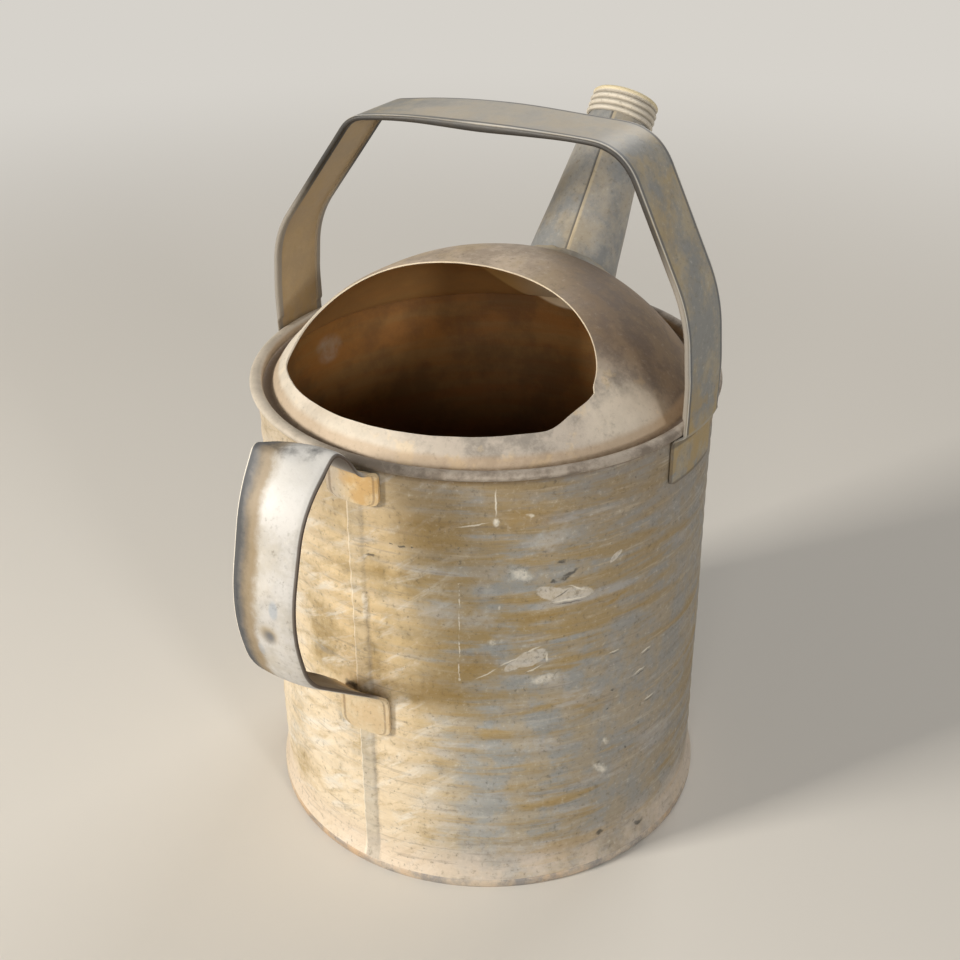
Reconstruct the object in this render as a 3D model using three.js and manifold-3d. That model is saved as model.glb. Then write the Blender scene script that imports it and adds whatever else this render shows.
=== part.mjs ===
// Galvanised sheet-steel watering can: a seamed drum, a stamped domed top with a wide filling mouth,
// a short soldered spout with a threaded collar, a rigid carrying strap and a strap grip at the back.
// Millimetres. +Z is up, the spout leans towards +X and the can stands on Z = 0.
import * as THREE from 'three';
import { mergeVertices } from 'three/addons/utils/BufferGeometryUtils.js';
import Module from 'manifold-3d';

const wasm = await Module();
wasm.setup();

const { degToRad, lerp, smoothstep } = THREE.MathUtils;

// Overall sizes
const footRadius = 105;
const canHeight = 220;
const sheet = 0.8;
const strapSheet = 1.2;
const solderGap = 0.3;
const facets = 60;

// Foot seam, floor pan and drum wall
const footSeamWall = 1.1;
const footSeamHeight = 5;
const footSeamFloor = 0.9;
const footSeamRound = 0.8;
const flareOut = 1.4;
const flareHeight = 13;
const flareTaper = 3.9;
const floorHeight = 8;
const wallRadius = footRadius - footSeamWall - solderGap - flareOut;
const wallInside = wallRadius - sheet;

// Lock seam down the back of the drum
const lockSeamWidth = 7.5;
const lockSeamRise = 0.9;

// Rim seam that joins the top to the drum, and the channel just inside it
const rimOverhang = 3.5;
const rimHeight = 4.7;
const rimRoof = 1.2;
const rimRound = 1.2;
const channelDepth = 7.3;
const channelWidth = 3.8;
const channelRound = 0.6;
const rimRadius = wallRadius + rimOverhang;
const rimBottom = canHeight - rimHeight;
const rimSlotTop = canHeight - rimRoof;
const channelFloor = canHeight - channelDepth;
const channelWall = wallInside - solderGap - sheet;

// Dome, and the mouth cut out of it: round at the back, straight sides, an arch towards the spout
const domeRise = 45.5;
const domePower = 3;
const domeRows = 10;
const domeFoot = 0.985;
const frontBulge = 0.17;
const bulgeBlend = 28;
const mouthSetback = 9.5;
const mouthSide = 14.5;
const mouthCorner = 4;
const archStart = -34;
const archTip = 7;
const domeRadius = channelWall - channelWidth;
const mouthRadius = domeRadius - mouthSetback;
const mouthHalfWidth = mouthRadius - mouthSide;

// Spout, its lap seam, the solder round its foot and the threaded collar on its tip
const spoutLift = degToRad(52.5);
const spoutLength = 94.5;
const spoutRootRadius = 22.9;
const spoutTipRadius = 13.9;
const spoutFacets = 32;
const boreLip = 0.5;
const lapSeamWidth = 4;
const lapSeamRise = 0.6;
const lapSeamTurn = degToRad(-20);
const solderLeg = 3;
const collarHeight = 12.6;
const collarWall = 0.5;
const collarBead = 2.2;
const threadTurns = 3;
const threadRise = 0.9;

// Carrying strap over the top, pressed a little out of true
const bailWidth = 33.6;
const bailTabWidth = 39;
const bailTabLength = 23.4;
const bailStep = { below: 6, above: 1.5, bend: 2.5 };
const bailHem = { depth: 1.2, width: 3.4, start: 1, full: 18 };
const bailShoulder = { rise: 45.5, inset: 3.2, bend: 17 };
const bailTop = { rise: 107.8, half: 65, crown: 4.8, crownBend: 35, bluntBend: 15, sharpBend: 7 };
const bailLean = 7;
const bailTilt = 2.8;

// Strap grip at the back: each bend's distance off the drum's wall, its height and its rounding
const gripWidth = 28;
const gripCrown = 2.6;
const gripBlend = 16;
const gripTabWidth = 26;
const gripUpperTab = { height: rimBottom - 4.5, length: 14, bend: 3 };
const gripCorner = { off: 35, height: canHeight + 18, bend: 5 };
const gripKnee = { off: 53, height: canHeight - 0.5, bend: 12 };
const gripBelly = { off: 64, height: canHeight - 46, bend: 18 };
const gripHeel = { off: 55, height: canHeight - 78, bend: 10 };
const gripLowerTab = { height: canHeight - 120, length: 20, bend: 5 };

// Closed solid from a geometry, with equal corners joined and its faces turned outwards
function solid(geometry) {
  geometry.deleteAttribute('normal');
  geometry.deleteAttribute('uv');
  const welded = mergeVertices(geometry, 1e-4);
  const at = (corner) => new THREE.Vector3().fromBufferAttribute(welded.attributes.position, corner);
  const corners = [];
  let volume = 0;
  for (let i = 0; i < welded.index.count; i += 3) {
    const [a, b, c] = [0, 1, 2].map((k) => welded.index.getX(i + k));
    if (a !== b && b !== c && c !== a) {
      corners.push(a, b, c);
      volume += at(a).dot(at(b).cross(at(c)));
    }
  }
  if (volume < 0) corners.reverse();
  return new wasm.Manifold(new wasm.Mesh({
    numProp: 3,
    vertProperties: Float32Array.from(welded.attributes.position.array),
    triVerts: Uint32Array.from(corners),
  }));
}

// Moves every corner of a geometry to where a function puts it
function reshape(geometry, place) {
  const positions = geometry.attributes.position;
  for (let i = 0; i < positions.count; i += 1) {
    const moved = place(new THREE.Vector3().fromBufferAttribute(positions, i));
    positions.setXYZ(i, moved.x, moved.y, moved.z);
  }
  return geometry;
}

// Turns an outline of [radius, height] corners about the Z axis
function turned(outline, count) {
  const points = [...outline, outline[0]].map(([r, z]) => new THREE.Vector2(r, z));
  return new THREE.LatheGeometry(points, count).rotateX(Math.PI / 2);
}

// Line through corners [a, b, inset], each rounded over its inset
function roundedLine(corners) {
  const path = new THREE.Path();
  const points = corners.map(([a, b]) => new THREE.Vector2(a, b));
  path.moveTo(points[0].x, points[0].y);
  for (let i = 1; i < points.length - 1; i += 1) {
    const inset = corners[i][2];
    if (inset === 0) {
      path.lineTo(points[i].x, points[i].y);
      continue;
    }
    const from = points[i - 1].clone().sub(points[i]).setLength(inset).add(points[i]);
    const to = points[i + 1].clone().sub(points[i]).setLength(inset).add(points[i]);
    path.lineTo(from.x, from.y);
    path.quadraticCurveTo(points[i].x, points[i].y, to.x, to.y);
  }
  path.lineTo(points.at(-1).x, points.at(-1).y);
  return path.getPoints(4);
}

// Flat strip bent along a line. Each cross-section has a half width, a bow (how far it drops one
// millimetre from its middle, growing with the square) and a hem folded back along both edges.
function strap(line, sectionAt, place) {
  const edge = 0.3;
  const steps = line.length - 1;
  const box = new THREE.BoxGeometry(1, 1, 1, 10, 1, steps);
  return solid(reshape(box, (corner) => {
    const i = Math.round((corner.z + 0.5) * steps);
    const ahead = line[Math.min(i + 1, steps)].clone().sub(line[Math.max(i - 1, 0)]).normalize();
    const { half, bow, hem } = sectionAt(line[i], i / steps);
    const hemLine = half - bailHem.width;
    const side = [0, 0.4 * half, hemLine - 0.6, hemLine, half - 0.6, half];
    const column = Math.round(10 * corner.x);
    const across = Math.sign(column) * side[Math.abs(column)];
    const bevel = Math.abs(column) === 5 ? edge : 0;
    const fold = Math.abs(column) > 2 && corner.y < 0 ? hem : 0;
    const height = 2 * corner.y * (strapSheet / 2 - bevel) - fold - bow * across * across;
    return place(line[i].x - ahead.y * height, line[i].y + ahead.x * height, across);
  }));
}

// Dome's outer face: its turned curve, and the extra height of the hood towards the spout
const domeCurve = (r) => channelFloor + domeRise * (1 - (r / domeRadius) ** domePower);

function domeBulge(x, y) {
  const ahead = 0.5 * (x + Math.hypot(x, bulgeBlend));
  return frontBulge * ahead * Math.max(0, 1 - Math.hypot(x, y) / domeRadius);
}

const domeHeight = (x, y) => Math.max(channelFloor, domeCurve(Math.hypot(x, y)) + domeBulge(x, y));

// Points along the dome's curve from the crown outwards, moved off it by a distance
function domeLine(off) {
  const line = [];
  for (let row = 0; row <= domeRows; row += 1) {
    const r = (domeFoot * domeRadius * row) / domeRows;
    const slope = (-domePower * domeRise * (r / domeRadius) ** (domePower - 1)) / domeRadius;
    const length = Math.hypot(1, slope);
    line.push([Math.max(0, r - (off * slope) / length), domeCurve(r) + off / length]);
  }
  return line;
}

function bulged(geometry) {
  return reshape(geometry, (corner) => {
    corner.z += domeBulge(corner.x, corner.y);
    return corner;
  });
}

// Spout's own frame: its lower side meets the dome just above the channel, with room for the solder
const spoutContact = domeRadius - solderLeg;
const spoutOrigin = new THREE.Vector3(
  spoutContact - spoutRootRadius * Math.sin(spoutLift),
  0,
  domeHeight(spoutContact, 0) + spoutRootRadius * Math.cos(spoutLift),
);
const spoutPlace = new THREE.Matrix4().makeRotationY(Math.PI / 2 - spoutLift).setPosition(spoutOrigin);
const spoutRadius = (along) => lerp(spoutRootRadius, spoutTipRadius, along / spoutLength);

// Turns an outline of [radius, distance along] corners about the spout's axis
function turnedOnSpout(outline) {
  return solid(turned(outline, spoutFacets).applyMatrix4(spoutPlace));
}

// Drum: straight wall, flared foot and the folded lock seam standing proud down the back
function bodyShell() {
  const outside = [
    [wallRadius + flareOut, footSeamFloor + solderGap],
    [wallRadius + 0.8 * flareOut, footSeamHeight],
    [wallRadius + 0.25 * flareOut, flareHeight - flareTaper],
    [wallRadius, flareHeight],
    [wallRadius, rimSlotTop - solderGap],
  ];
  const inside = outside.map(([r, z]) => [r - sheet, z]).reverse();
  const wall = solid(turned([...outside, ...inside], facets));
  const half = lockSeamWidth / 2 / wallRadius;
  const outline = new THREE.Shape();
  outline.absarc(0, 0, wallRadius + lockSeamRise, Math.PI - half, Math.PI + half, false);
  outline.absarc(0, 0, wallRadius - sheet / 2, Math.PI + half, Math.PI - half, true);
  const foot = flareHeight - flareTaper;
  const depth = rimBottom - solderGap - foot;
  const seam = new THREE.ExtrudeGeometry(outline, { depth, bevelEnabled: false, curveSegments: 4 });
  return wall.add(solid(seam.translate(0, 0, foot)));
}

// Floor pan: raised floor, skirt down to the ground and the seam folded up round the drum's foot
function bottomPlate() {
  const skirtTop = wallInside + 0.25 * flareOut - solderGap;
  const skirtMiddle = wallInside + 0.8 * flareOut - solderGap;
  const skirtFoot = wallInside + flareOut - solderGap;
  const slotOutside = wallRadius + flareOut + solderGap;
  return solid(turned([
    [0, floorHeight + sheet],
    [skirtTop - sheet, floorHeight + sheet],
    [skirtTop, floorHeight],
    [skirtMiddle, footSeamHeight],
    [skirtFoot, footSeamFloor],
    [slotOutside, footSeamFloor],
    [slotOutside, footSeamHeight],
    [footRadius - footSeamRound / 2, footSeamHeight],
    [footRadius, footSeamHeight - footSeamRound],
    [footRadius, footSeamRound],
    [footRadius - footSeamRound, 0],
    [skirtFoot - sheet, 0],
    [skirtMiddle - sheet, footSeamHeight],
    [skirtTop - 2 * sheet, floorHeight],
    [0, floorHeight],
  ], facets));
}

// Outline of the mouth seen from above
function mouthOutline() {
  const corner = Math.asin((mouthHalfWidth - mouthCorner) / mouthRadius);
  const outline = new THREE.Shape();
  outline.absarc(0, 0, mouthRadius, Math.PI - corner, Math.PI + corner, false);
  outline.lineTo(archStart, -mouthHalfWidth);
  outline.absellipse(archStart, 0, archTip - archStart, mouthHalfWidth, -Math.PI / 2, Math.PI / 2, false);
  return outline;
}

// Top: dome with the mouth and the spout's hole cut out, the channel, and the rim folded over the drum
function topHood() {
  const slotInside = wallInside - solderGap;
  const slotOutside = wallRadius + solderGap;
  const dome = solid(bulged(turned([
    ...domeLine(0),
    [domeRadius + channelRound, channelFloor],
    [channelWall - channelRound, channelFloor],
    [channelWall, channelFloor + channelRound],
    [channelWall, canHeight - rimRound],
    [channelWall + rimRound, canHeight],
    [rimRadius - rimRound, canHeight],
    [rimRadius - 0.3 * rimRound, canHeight - 0.3 * rimRound],
    [rimRadius, canHeight - rimRound],
    [rimRadius, rimBottom + 0.8 * rimRound],
    [rimRadius - 0.8 * rimRound, rimBottom],
    [slotOutside, rimBottom],
    [slotOutside, rimSlotTop],
    [slotInside, rimSlotTop],
    [slotInside, channelFloor],
    [slotInside - sheet, channelFloor - sheet],
    [domeRadius, channelFloor - sheet],
    ...domeLine(-sheet).reverse(),
  ], facets)));
  const depth = 2 * domeRise;
  const cut = new THREE.ExtrudeGeometry(mouthOutline(), { depth, bevelEnabled: false, curveSegments: 16 });
  const boreRadius = (along) => spoutRadius(along) - sheet - boreLip;
  const boreReach = spoutRootRadius;
  const bore = turnedOnSpout([
    [0, -boreReach],
    [boreRadius(-boreReach), -boreReach],
    [boreRadius(boreReach), boreReach],
    [0, boreReach],
  ]);
  return dome.subtract(solid(cut.translate(0, 0, channelFloor - sheet))).subtract(bore);
}

// Everything below the dome's outer face once that is raised by a clearance
function underDome(clearance) {
  const skirt = 2 * rimRadius;
  return solid(bulged(turned([
    ...domeLine(clearance),
    [domeRadius + clearance, channelFloor + clearance],
    [skirt, channelFloor + clearance],
    [skirt, channelFloor - skirt],
    [0, channelFloor - skirt],
  ], facets)));
}

// Spout: a rolled cone with a lap seam along its upper side, its foot trimmed to the dome
function spout() {
  const foot = -spoutRootRadius;
  const tip = spoutLength - solderGap;
  const tube = turnedOnSpout([
    [spoutRadius(foot), foot],
    [spoutRadius(tip), tip],
    [spoutRadius(tip) - sheet, tip],
    [spoutRadius(foot) - sheet, foot],
  ]);
  const seamFoot = outOfDome(spoutRootRadius, Math.PI - lapSeamTurn) + solderLeg + 2 * solderGap;
  const seamLength = spoutLength - collarHeight - solderGap - seamFoot;
  const strip = new THREE.BoxGeometry(1, 1, seamLength, 2, 1, 1);
  const seam = solid(reshape(strip, (corner) => {
    const along = seamFoot + seamLength / 2 + corner.z;
    const radius = spoutRadius(along) + (corner.y > 0 ? lapSeamRise : -sheet / 2);
    const turn = lapSeamTurn + (corner.x * lapSeamWidth) / radius;
    return new THREE.Vector3(-radius * Math.cos(turn), radius * Math.sin(turn), along);
  }).applyMatrix4(spoutPlace));
  return tube.add(seam).subtract(underDome(solderGap));
}

// How far along the spout a line beside its axis comes out of the dome
function outOfDome(radius, turn) {
  let low = -2 * spoutRootRadius;
  let high = 2 * spoutRootRadius;
  for (let i = 0; i < 40; i += 1) {
    const middle = (low + high) / 2;
    const point = new THREE.Vector3(radius * Math.cos(turn), radius * Math.sin(turn), middle);
    point.applyMatrix4(spoutPlace);
    if (point.z > domeHeight(point.x, point.y)) high = middle;
    else low = middle;
  }
  return high;
}

// Solder run round the corner between the spout and the dome
function spoutSolder() {
  const ring = turned([
    [2 * spoutRootRadius + solderGap, 2 * solderGap],
    [2 * spoutRootRadius + solderGap, solderLeg],
    [2 * spoutRootRadius + 0.4 * solderLeg, 0.4 * solderLeg],
    [2 * spoutRootRadius + solderLeg, 2 * solderGap],
  ], spoutFacets);
  return solid(reshape(ring, (corner) => {
    const turn = Math.atan2(corner.y, corner.x);
    const off = Math.hypot(corner.x, corner.y) - 2 * spoutRootRadius;
    const foot = outOfDome(spoutRootRadius, turn);
    const radius = spoutRadius(foot) + off;
    const along = outOfDome(radius, turn) + corner.z;
    return new THREE.Vector3(radius * Math.cos(turn), radius * Math.sin(turn), along);
  }).applyMatrix4(spoutPlace));
}

// Collar round the spout's tip: rolled thread turns and a bead at the top
function spoutCollar() {
  const foot = spoutLength - collarHeight;
  const inside = (along) => spoutRadius(along) + solderGap;
  const face = inside(foot) + collarWall;
  const pitch = (collarHeight - collarBead - 1) / threadTurns;
  const outline = [[inside(foot), foot], [face + 0.4 * threadRise, foot]];
  for (let k = 0; k < threadTurns; k += 1) {
    const from = foot + k * pitch;
    outline.push([face + threadRise, from + 0.3 * pitch]);
    outline.push([face + threadRise, from + 0.6 * pitch]);
    outline.push([face, from + 0.95 * pitch]);
  }
  outline.push([face + 0.6 * threadRise, spoutLength - 0.8 * collarBead]);
  outline.push([face + 0.6 * threadRise, spoutLength - 0.3 * collarBead]);
  outline.push([face - 0.3 * collarWall, spoutLength]);
  outline.push([inside(spoutLength), spoutLength]);
  return turnedOnSpout(outline);
}

// Carrying strap: tabs on the wall, stepped out over the rim, hemmed from the rim upwards
function bailHandle() {
  const onWall = wallRadius + solderGap + strapSheet / 2;
  const overRim = rimRadius + solderGap + strapSheet / 2;
  const stepFoot = rimBottom - bailStep.below;
  const hemStart = canHeight + bailHem.start;
  const hemFull = canHeight + bailHem.full;
  const shoulder = canHeight + bailShoulder.rise;
  const top = canHeight + bailTop.rise;
  const leg = (side) => [
    [side * onWall, rimBottom - bailTabLength, 0],
    [side * onWall, stepFoot, bailStep.bend],
    [side * overRim, rimBottom - bailStep.above, bailStep.bend],
    [side * overRim, hemStart, 0],
    [side * (overRim - 0.3 * bailShoulder.inset), hemFull, 0],
    [side * (overRim - bailShoulder.inset), shoulder - 0.3 * side * bailTilt, bailShoulder.bend],
  ];
  const line = roundedLine([
    ...leg(-1),
    [-bailTop.half - bailLean, top + bailTilt, bailTop.bluntBend],
    [bailLean, top + bailTop.crown, bailTop.crownBend],
    [bailTop.half - bailLean, top - bailTilt, bailTop.sharpBend],
    ...leg(1).reverse(),
  ]);
  const sectionAt = ({ y: height }) => {
    const free = smoothstep(height, hemStart, hemFull);
    const tab = 1 - smoothstep(height, stepFoot, rimBottom);
    return {
      half: lerp(bailWidth, bailTabWidth, tab) / 2,
      bow: (1 - free) / (2 * wallRadius),
      hem: free * bailHem.depth,
    };
  };
  return strap(line, sectionAt, (a, b, across) => new THREE.Vector3(across, a, b));
}

// Rear grip: tabs over the lock seam, an arm up to a tight corner, a bowed grip and a sloping arm back
function rearHandle() {
  const tabStand = wallRadius + lockSeamRise + solderGap + strapSheet / 2;
  const bends = [gripCorner, gripKnee, gripBelly, gripHeel];
  const line = roundedLine([
    [-tabStand, gripUpperTab.height - gripUpperTab.length, 0],
    [-tabStand, gripUpperTab.height, gripUpperTab.bend],
    ...bends.map(({ off, height, bend }) => [-wallRadius - off, height, bend]),
    [-tabStand, gripLowerTab.height, gripLowerTab.bend],
    [-tabStand, gripLowerTab.height - gripLowerTab.length, 0],
  ]);
  const hug = lockSeamRise / (gripTabWidth / 2) ** 2 + 1 / (2 * wallRadius);
  const crown = gripCrown / (gripWidth / 2) ** 2;
  const sectionAt = ({ x }, share) => {
    const clear = smoothstep(-x - tabStand, 2, 2 + gripBlend);
    const half = lerp(gripTabWidth, gripWidth, clear) / 2;
    return { half, bow: lerp(share < 0.5 ? hug : -hug, -crown, clear), hem: 0 };
  };
  return strap(line, sectionAt, (a, b, across) => new THREE.Vector3(a, across, b));
}

function mesh(name, piece, color, roughness, metalness) {
  const data = piece.getMesh();
  const geometry = new THREE.BufferGeometry();
  geometry.setAttribute('position', new THREE.BufferAttribute(data.vertProperties.slice(), 3));
  geometry.setIndex(new THREE.BufferAttribute(data.triVerts.slice(), 1));
  geometry.computeVertexNormals();
  const result = new THREE.Mesh(geometry, new THREE.MeshStandardMaterial({ color, roughness, metalness }));
  result.name = name;
  return result;
}

const can = new THREE.Group();
can.name = 'watering_can';
can.add(
  mesh('body_shell', bodyShell(), 0x8f9496, 0.6, 0.7),
  mesh('bottom_plate', bottomPlate(), 0x7b756a, 0.7, 0.6),
  mesh('top_hood', topHood(), 0x85827a, 0.6, 0.7),
  mesh('spout', spout(), 0x8b8a84, 0.6, 0.7),
  mesh('spout_solder', spoutSolder(), 0x9a9b98, 0.5, 0.7),
  mesh('spout_collar', spoutCollar(), 0xc4c2b4, 0.5, 0.6),
  mesh('bail_handle', bailHandle(), 0x86846f, 0.55, 0.7),
  mesh('rear_handle', rearHandle(), 0x9a9a94, 0.5, 0.7),
);

// The middle of the whole can, seen from above, is put on the Z axis
const bounds = new THREE.Box3().setFromObject(can);
const middle = bounds.getCenter(new THREE.Vector3());
can.position.set(-middle.x, -middle.y, -bounds.min.z);

export default can;
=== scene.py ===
"""Weathered galvanised watering can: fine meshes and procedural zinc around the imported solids."""
import math

import bmesh
import bpy
import numpy as np
from mathutils import Matrix, Vector, noise


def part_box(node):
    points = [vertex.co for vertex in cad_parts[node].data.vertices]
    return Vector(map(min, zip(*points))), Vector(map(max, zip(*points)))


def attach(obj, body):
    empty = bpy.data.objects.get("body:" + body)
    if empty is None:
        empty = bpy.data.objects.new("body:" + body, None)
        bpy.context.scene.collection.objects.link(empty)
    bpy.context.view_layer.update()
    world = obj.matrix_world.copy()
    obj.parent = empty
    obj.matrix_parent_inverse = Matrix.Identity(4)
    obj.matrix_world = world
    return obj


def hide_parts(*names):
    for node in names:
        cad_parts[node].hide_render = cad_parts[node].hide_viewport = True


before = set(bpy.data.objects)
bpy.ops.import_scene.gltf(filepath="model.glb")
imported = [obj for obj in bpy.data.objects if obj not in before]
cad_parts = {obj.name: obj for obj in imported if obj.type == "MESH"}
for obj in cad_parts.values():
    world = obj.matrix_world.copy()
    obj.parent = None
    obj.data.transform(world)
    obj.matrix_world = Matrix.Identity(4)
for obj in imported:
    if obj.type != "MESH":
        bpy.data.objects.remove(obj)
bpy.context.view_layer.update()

# Lengths are in millimetres from the drum's own axis, with +X towards the spout, until a mesh is made
MM = 0.001
pan_low, pan_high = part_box("bottom_plate")
AXIS_X = (pan_low.x + pan_high.x) / 2 / MM
FULL_TURN = 2 * math.pi

# Drum, rim and floor
FOOT_RADIUS = 105.0
WALL_RADIUS = 102.2
SHEET = 0.8
STRAP_SHEET = 1.2
GAP = 0.3
SLOT_OUT = 1.4
SLOT_FOOT = 1.2
LIP_OUT = 2.55
LIP_BOTTOM = 4.65
FLARE_TOP = 14.0
RIM_MIDDLE = 103.0
RIM_LEVEL = 215.8
RIM_HALF_WIDE = 2.7
RIM_HALF_HIGH = 2.0
RIM_BOTTOM = RIM_LEVEL - RIM_HALF_HIGH
DRUM_TOP = 216.0
SEAM_HALF = 3.75
SEAM_RISE = 0.9
SEAM_FOOT = 9.1
RIPPLE_PITCH = 9.6
RIPPLE_DEPTH = 0.42
DENT_DEPTH = 0.45

# Dome and mouth
CHANNEL_FLOOR = 212.7
DOME_RADIUS = 96.5
DOME_RISE = 45.5
FRONT_BULGE = 0.17
BULGE_BLEND = 28.0
SHOULDER_RISE = 0.9
LEFT_LIFT = 1.6
MOUTH_RADIUS = 88.0
MOUTH_HALF = 72.5
MOUTH_CORNER = 4.0
MOUTH_SHIFT = 1.8
ARCH_START = -34.0
ARCH_TIP = 6.2
MOUTH_MIDDLE = -30.0
TEAR = 1.5

# Spout and collar
SPOUT_LIFT = math.radians(52.5)
SPOUT_LENGTH = 94.5
SPOUT_ROOT = 22.9
SPOUT_TIP = 13.9
LAP_TURN = math.radians(200)
LAP_RISE = 0.6
SOLDER_LEG = 3.0
COLLAR_HEIGHT = 12.6
COLLAR_WALL = 0.5
THREAD_PITCH = 3.13
THREAD_RISE = 0.9

# Straps
BAIL_HALF = 16.8
BAIL_TAB_HALF = 19.5
HEM_WIDTH = 3.4
HEM_DEPTH = 1.2
HEM_FOOT = 220.6
HEM_DROOP = 2.6
GRIP_HALF = 14.0
GRIP_TAB_HALF = 13.0
GRIP_CROWN = 1.2
GRIP_CURL = 0.5
GRIP_LEFT = 1.4
TAB_STAND = WALL_RADIUS + SEAM_RISE + GAP + STRAP_SHEET / 2


def smooth(value, start, end):
    """0 at start, 1 at end, easing in and out between them."""
    share = np.clip((value - start) / (end - start), 0, 1)
    return share * share * (3 - 2 * share)


def hump(value, middle, half):
    """1 at the middle, easing to 0 at half to each side."""
    return smooth(half - np.abs(value - middle), 0, half)


def wobble(x, y, z, length):
    """Smooth noise from -1 to 1 whose lumps are about this long."""
    x, y, z = np.broadcast_arrays(x, y, z)
    points = np.stack([x.ravel(), y.ravel(), z.ravel()], axis=1) / length
    values = [noise.noise(Vector(point)) for point in points]
    return np.array(values).reshape(x.shape)


def add_object(name, data):
    made = bpy.data.objects.new(name, data)
    bpy.context.scene.collection.objects.link(made)
    return made


def make_piece(name, node, points, material, closed=True, fields=None):
    """Closed quad mesh from rows of points. Columns always join up; rows do too, or end in flat caps."""
    rows, columns, _ = points.shape
    corners = (points.reshape(-1, 3) + [AXIS_X, 0, 0]) * MM
    index = np.arange(rows * columns).reshape(rows, columns)
    ahead = np.roll(index, -1, axis=0)
    quads = np.stack([index, np.roll(index, -1, axis=1), np.roll(ahead, -1, axis=1), ahead], axis=2)
    if closed:
        faces = quads.reshape(-1, 4).tolist()
    else:
        faces = quads[:-1].reshape(-1, 4).tolist()
        faces += [index[0].tolist(), index[-1].tolist()]
    mesh = bpy.data.meshes.new(name)
    mesh.from_pydata(corners.tolist(), [], faces)
    for field, values in (fields or {}).items():
        layer = mesh.attributes.new(field, "FLOAT", "POINT")
        spread = np.broadcast_to(values, (rows, columns))
        layer.data.foreach_set("value", spread.astype(np.float32).ravel())
    shape = bmesh.new()
    shape.from_mesh(mesh)
    bmesh.ops.recalc_face_normals(shape, faces=shape.faces)
    shape.to_mesh(mesh)
    shape.free()
    piece = add_object(name, mesh)
    finish_piece(piece, material)
    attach(piece, "root")
    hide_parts(node)
    return piece


def finish_piece(piece, material):
    """Smooth shading with crisp folds, and the material."""
    mesh = piece.data
    mesh.polygons.foreach_set("use_smooth", [True] * len(mesh.polygons))
    mesh.set_sharp_from_angle(angle=math.radians(40))
    mesh.materials.clear()
    mesh.materials.append(material)


def turned_points(outline, angles):
    """Rows of points from an outline of (radius, height), turned about the drum's axis."""
    outline = np.array(outline)
    radius = outline[:, :1]
    height = np.repeat(outline[:, 1:], len(angles), axis=1)
    return np.stack([radius * np.cos(angles), radius * np.sin(angles), height], axis=2)


# Drum

def ripples(x, y, z):
    """Shallow level waves in the rolled sheet, from about -1 to 1."""
    drift = wobble(x, y, 0.7 * z, 60)
    strength = 0.6 + 0.6 * wobble(x, y, 1.4 * z + 300, 40)
    return strength * np.sin(FULL_TURN * (z / RIPPLE_PITCH + 0.8 * drift))


def clear_of_tabs(angle, z):
    """0 where a strap's tab lies on the drum and at both ends of the wall, 1 on the free sheet."""
    behind = WALL_RADIUS * np.abs(angle - math.pi)
    across = WALL_RADIUS * np.abs(np.cos(angle))
    grip = smooth(behind, 15, 24)
    bail = smooth(across, 20, 30)
    low = 1 - hump(z, 90, 26) * (1 - grip)
    high = 1 - smooth(z, 180, 194) * (1 - grip * bail)
    return low * high * smooth(z, 13, 24) * (1 - smooth(z, 200, 212))


def drum(material):
    """Rolled sheet with a flared foot and a folded lock seam down the back."""
    sharp_side = [-6, -5, -4.3, -3.95, -3.7, -3.4, -2.2, -0.8]
    soft_side = [0.8, 1.6, 2.2, 2.8, 3.4, 4, 4.6, 5.3, 6]
    seam_lines = np.array(sharp_side + soft_side)
    plain = np.radians(np.arange(0, 360, 1.6))
    plain = plain[np.abs(plain - math.pi) * WALL_RADIUS > 7]
    angles = np.sort(np.concatenate([plain, math.pi + seam_lines / WALL_RADIUS]))
    in_slot = [SLOT_FOOT, LIP_BOTTOM - 0.05]
    flared = np.linspace(LIP_BOTTOM, FLARE_TOP, 10)
    outside = np.concatenate([in_slot, flared, np.linspace(FLARE_TOP + 1.4, DRUM_TOP, 140)])
    inside = np.linspace(DRUM_TOP, SLOT_FOOT, 30)
    z = np.concatenate([outside, inside])[:, None]
    is_inside = np.concatenate([np.zeros(len(outside)), np.ones(len(inside))])[:, None]
    x = WALL_RADIUS * np.cos(angles)[None, :]
    y = WALL_RADIUS * np.sin(angles)[None, :]
    wave = ripples(x, y, z)
    dent = wobble(x, y, z, 75)
    rise = np.clip((FLARE_TOP - z) / (FLARE_TOP - LIP_BOTTOM), 0, 1) ** 1.7
    hidden = (is_inside > 0) | (z < LIP_BOTTOM)
    flare = np.where(hidden, SLOT_OUT, LIP_OUT) * rise
    across = WALL_RADIUS * (angles - math.pi)[None, :]
    fold = smooth(across, -SEAM_HALF - 0.3, -SEAM_HALF + 0.2)
    fold = fold - smooth(across, SEAM_HALF - 1.8, SEAM_HALF + 0.5)
    seam = fold * smooth(z, SEAM_FOOT, SEAM_FOOT + 5) * (1 - smooth(z, RIM_BOTTOM - 2, RIM_BOTTOM - GAP))
    loose = clear_of_tabs(angles[None, :], z)
    radius = WALL_RADIUS + flare + loose * (RIPPLE_DEPTH * wave + DENT_DEPTH * dent)
    radius = radius + (1 - is_inside) * SEAM_RISE * seam - is_inside * SHEET
    z = np.broadcast_to(z, radius.shape)
    points = np.stack([radius * np.cos(angles), radius * np.sin(angles), z], axis=2)
    fields = {"ripple": wave, "inside": is_inside, "seam_across": np.clip(across, -9, 9)}
    return make_piece("drum", "body_shell", points, material, fields=fields)


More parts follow.
